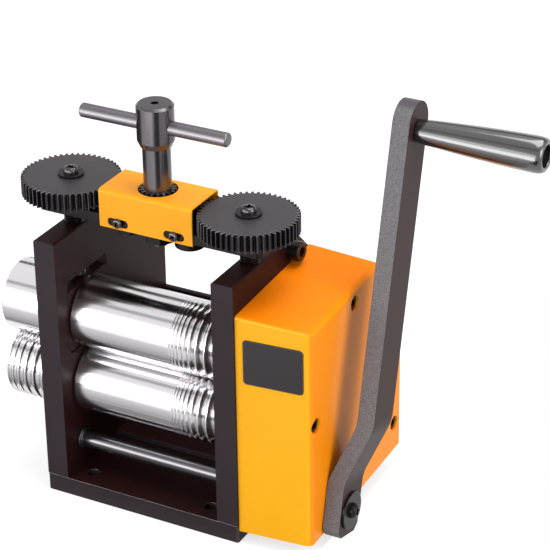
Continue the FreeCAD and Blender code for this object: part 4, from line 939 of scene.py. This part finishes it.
class MILL_OT_crank(bpy.types.Operator):
    """Crank arm, its washer and screw, the spindle and the turning grip."""

    bl_idname = "mill.crank"
    bl_label = "Crank"

    def execute(self, context):
        look = finishes()
        dress("crank_arm", look["crank"], 0.9, 3)
        seat = ARM_OUTER + CRANK_WASHER
        turned_piece("crank_disc", ring_outline(ARM_OUTER, seat, CRANK_SCREW_RADIUS,
                                                CRANK_WASHER_RADIUS),
                     "X", (0, ROLL_Y, CRANK_Z), look["black_screw"], "crank_washer", 0.4,
                     SPIN_STEPS, True)
        bm = bmesh.new()
        add_screw(bm, (seat, ROLL_Y, CRANK_Z), (1, 0, 0), CRANK_SCREW_LENGTH,
                  CRANK_SCREW_RADIUS, pan_head(5.0, 3.5, 2.5, 0.6, 1.9), 0.25)
        put_piece(bm, "crank_pan_screw", look["black_screw"], "crank_screw")
        outside = [(GRIP_START + along, radius) for along, radius in GRIP_OUTSIDE]
        end = outside[-1][0]
        floor = end - GRIP_RECESS_DEPTH
        head, head_top = floor + 0.4, floor + 4.4
        turned_piece("grip_spindle", [
            (SPINDLE_START, 0), (SPINDLE_START, 4.2), (SPINDLE_START + 0.8, SPINDLE_SEAT_RADIUS),
            (SPINDLE_SHOULDER, SPINDLE_SEAT_RADIUS), (SPINDLE_SHOULDER, SPINDLE_RADIUS),
            (head, SPINDLE_RADIUS), (head, SPINDLE_HEAD_RADIUS),
            (head_top - 0.8, SPINDLE_HEAD_RADIUS), (head_top, SPINDLE_HEAD_RADIUS - 0.8),
            (head_top, 0),
        ], "X", GRIP_PLACE, look["bright"], "handle_spindle", 0.25, SCREW_STEPS)
        inside = [(end - 0.3, 7.2), (end - 1.2, GRIP_RECESS), (floor, GRIP_RECESS),
                  (floor, GRIP_BORE), (GRIP_START, GRIP_BORE)]
        turned_piece("grip_moulding", outside + inside, "X", GRIP_PLACE, look["grip"],
                     "handle_grip", 0.15, 96, True, 40.0)
        return {"FINISHED"}


class MILL_OT_inner_parts(bpy.types.Operator):
    """Bushes, springs, shafts and gears inside the mill."""

    bl_idname = "mill.inner_parts"
    bl_label = "Inner parts"

    def execute(self, context):
        dress_all(finishes(), (
            ("bronze", 0.2, ("upper_bushes", "lower_bushes", "plate_bushes", "wall_bushes")),
            ("bright", 0.0, ("lift_springs",)),
            ("bright", 0.2, ("counter_shaft", "crank_shaft")),
            ("gear", 0.2, ("upper_roll_gear", "lower_roll_gear", "counter_pinion",
                           "counter_gear", "crank_pinion")),
        ))
        return {"FINISHED"}


# ---- stage


class MILL_OT_stage(bpy.types.Operator):
    """Floor, painted reflection cards, sky, lamps and camera."""

    bl_idname = "mill.stage"
    bl_label = "Stage"

    def execute(self, context):
        settings = context.scene.mill_stage
        self.floor(settings)
        self.painted_reflection_cards()
        self.sky(context, settings)
        self.lamps(context, settings)
        self.camera(context)
        context.scene.view_settings.view_transform = "Standard"
        return {"FINISHED"}

    def floor(self, settings):
        """Bench top that ends just under the crank, so that the crank can swing past it."""
        material, tree, shader = new_material("floor", {
            "Base Color": (*settings.floor_colour, 1), "Roughness": 0.9,
            "Specular IOR Level": 0.1, "Emission Color": (1, 1, 1, 1)})
        glow = node_at(tree, "ShaderNodeMath", -300, -300, {
            0: self.seen_directly(tree), 1: settings.floor_glow}, operation="MULTIPLY")
        feed(tree, shader, {"Emission Strength": glow.outputs[0]})
        self.card("floor", [(-BENCH_REACH, -BENCH_REACH, 0), (BENCH_EDGE, -BENCH_REACH, 0),
                            (BENCH_EDGE, BENCH_REACH, 0), (-BENCH_REACH, BENCH_REACH, 0)],
                  material)

    def card(self, name, corners, material):
        mesh = bpy.data.meshes.new(name)
        mesh.from_pydata(corners, [], [(0, 1, 2, 3)])
        mesh.materials.append(material)
        card = bpy.data.objects.new(name, mesh)
        bpy.context.scene.collection.objects.link(card)
        return card

    def painted_reflection_cards(self):
        """Cards which only reflections see and which light nothing: a glowing card for painted
        highlights, painted darker bands round it, painted dark patches on the floor and strips of
        painted floor shadow in front of the mill.
        """
        def strip(x, near, far):
            return [(x[0], *near), (x[1], *near), (x[1], *far), (x[0], *far)]

        places = []
        # Darker bands over the front: painted reflections.
        for low, high, glow in DARK_BANDS:
            near, far = ((-DARK_BAND_DISTANCE * math.cos(a), 0.1 + DARK_BAND_DISTANCE * math.sin(a))
                         for a in (math.radians(low), math.radians(high)))
            places.append((strip(DARK_BAND_X, near, far), glow))
        # Dark patches on the floor: painted dark reflections.
        near, far = SECTOR_REACH
        for low, high in DARK_SECTORS:
            corners = [(out * math.sin(math.radians(a)), -out * math.cos(math.radians(a)),
                        CARD_LIFT) for out, a in ((near, low), (near, high), (far, high),
                                                  (far, low))]
            places.append((corners, SECTOR_GLOW))
        # Strips of painted floor shadow, darker nearer the mill.
        for near, far, glow in SHADOW_STRIPS:
            places.append((strip(SHADOW_STRIP_X, (-near, CARD_LIFT), (-far, CARD_LIFT)), glow))
        # The glowing card for painted highlights; it lights nothing.
        low, high = ((HIGHLIGHT_CARD_Y, z) for z in HIGHLIGHT_CARD_Z)
        places.append((strip(HIGHLIGHT_CARD_X, low, high), HIGHLIGHT_CARD_GLOW))
        for at, (corners, glow) in enumerate(places):
            material = new_material("painted_reflection_card_%d" % at, {
                "Base Color": (0.02, 0.02, 0.02, 1), "Specular IOR Level": 0.0,
                "Emission Color": (1, 1, 1, 1), "Emission Strength": glow})[0]
            card = self.card("painted_reflection_card_%d" % at, corners, material)
            card.visible_camera = False
            card.visible_diffuse = False
            card.visible_shadow = False

    def seen_directly(self, tree):
        """1 for camera, glossy and transmission rays, 0 for the light that falls on things."""
        path = node_at(tree, "ShaderNodeLightPath", -900, 0).outputs
        seen = node_at(tree, "ShaderNodeMath", -700, 0, {
            0: path["Is Camera Ray"], 1: path["Is Glossy Ray"]}, operation="MAXIMUM")
        seen_all = node_at(tree, "ShaderNodeMath", -540, 0, {
            0: seen.outputs[0], 1: path["Is Transmission Ray"]}, operation="MAXIMUM")
        return seen_all.outputs[0]

    def sky(self, context, settings):
        """White where it is seen, and the panel's strength where it lights things."""
        world = bpy.data.worlds.new("studio")
        context.scene.world = world
        world.use_nodes = True
        tree = world.node_tree
        strength = node_at(tree, "ShaderNodeMapRange", -180, 0, {
            "Value": self.seen_directly(tree), "To Min": settings.sky_strength, "To Max": 1.0})
        feed(tree, tree.nodes["Background"], {
            "Color": (1, 1, 1, 1), "Strength": strength.outputs[0]})

    def lamps(self, context, settings):
        """Large soft lamps aimed at the middle of the mill."""
        for name, place, width, height, share in LAMPS:
            lamp = bpy.data.lights.new(name, "AREA")
            lamp.energy = settings.key_power * share
            lamp.shape = "RECTANGLE"
            lamp.size = width
            lamp.size_y = height
            holder = bpy.data.objects.new(name, lamp)
            context.scene.collection.objects.link(holder)
            holder.location = place
            direction = Vector(LAMP_TARGET) - Vector(place)
            holder.rotation_euler = direction.to_track_quat("-Z", "Y").to_euler()

    def camera(self, context):
        """Camera from its place, its angles and its lens."""
        azimuth, elevation, roll = (math.radians(a) for a in CAMERA_ANGLES)
        away = Vector((math.sin(azimuth) * math.cos(elevation),
                       -math.cos(azimuth) * math.cos(elevation), math.sin(elevation)))
        right = Vector((0, 0, 1)).cross(away).normalized()
        up = away.cross(right)
        turned_right = right * math.cos(roll) + up * math.sin(roll)
        turned_up = up * math.cos(roll) - right * math.sin(roll)
        view = bpy.data.cameras.new("view")
        view.sensor_fit = "HORIZONTAL"
        view.sensor_width = CAMERA_SENSOR
        view.lens = CAMERA_LENS
        view.shift_x, view.shift_y = CAMERA_SHIFT
        view.clip_start, view.clip_end = CAMERA_CLIP
        holder = bpy.data.objects.new("view", view)
        context.scene.collection.objects.link(holder)
        matrix = Matrix((turned_right, turned_up, away)).transposed().to_4x4()
        matrix.translation = Vector(CAMERA_PLACE)
        holder.matrix_world = matrix
        context.scene.camera = holder


class MILL_PT_panel(bpy.types.Panel):
    """Lists the mill's settings and pieces."""

    bl_idname = "MILL_PT_panel"
    bl_label = "Rolling mill"
    bl_space_type = "VIEW_3D"
    bl_region_type = "UI"
    bl_category = "Mill"

    def draw(self, context):
        layout = self.layout
        for settings in (context.scene.mill_finish, context.scene.mill_sizes,
                         context.scene.mill_stage):
            box = layout.box()
            for key in settings.bl_rna.properties.keys():
                if key not in ("rna_type", "name"):
                    box.prop(settings, key)
        for operator in OPERATORS:
            layout.operator(operator.bl_idname)


OPERATORS = (MILL_OT_frame_plates, MILL_OT_rolls, MILL_OT_gear_case, MILL_OT_screw_down,
             MILL_OT_t_handle, MILL_OT_crank, MILL_OT_inner_parts, MILL_OT_stage)
SETTINGS = (MillFinish, MillSizes, StageSettings)


def register():
    for cls in SETTINGS + OPERATORS + (MILL_PT_panel,):
        bpy.utils.register_class(cls)
    bpy.types.Scene.mill_finish = PointerProperty(type=MillFinish)
    bpy.types.Scene.mill_sizes = PointerProperty(type=MillSizes)
    bpy.types.Scene.mill_stage = PointerProperty(type=StageSettings)


def unregister():
    del bpy.types.Scene.mill_stage
    del bpy.types.Scene.mill_sizes
    del bpy.types.Scene.mill_finish
    for cls in reversed(SETTINGS + OPERATORS + (MILL_PT_panel,)):
        bpy.utils.unregister_class(cls)


def main():
    register()
    bpy.ops.mill.frame_plates()
    bpy.ops.mill.rolls()
    bpy.ops.mill.gear_case()
    bpy.ops.mill.screw_down()
    bpy.ops.mill.t_handle()
    bpy.ops.mill.crank()
    bpy.ops.mill.inner_parts()
    bpy.ops.mill.stage()


if __name__ == "__main__":
    main()
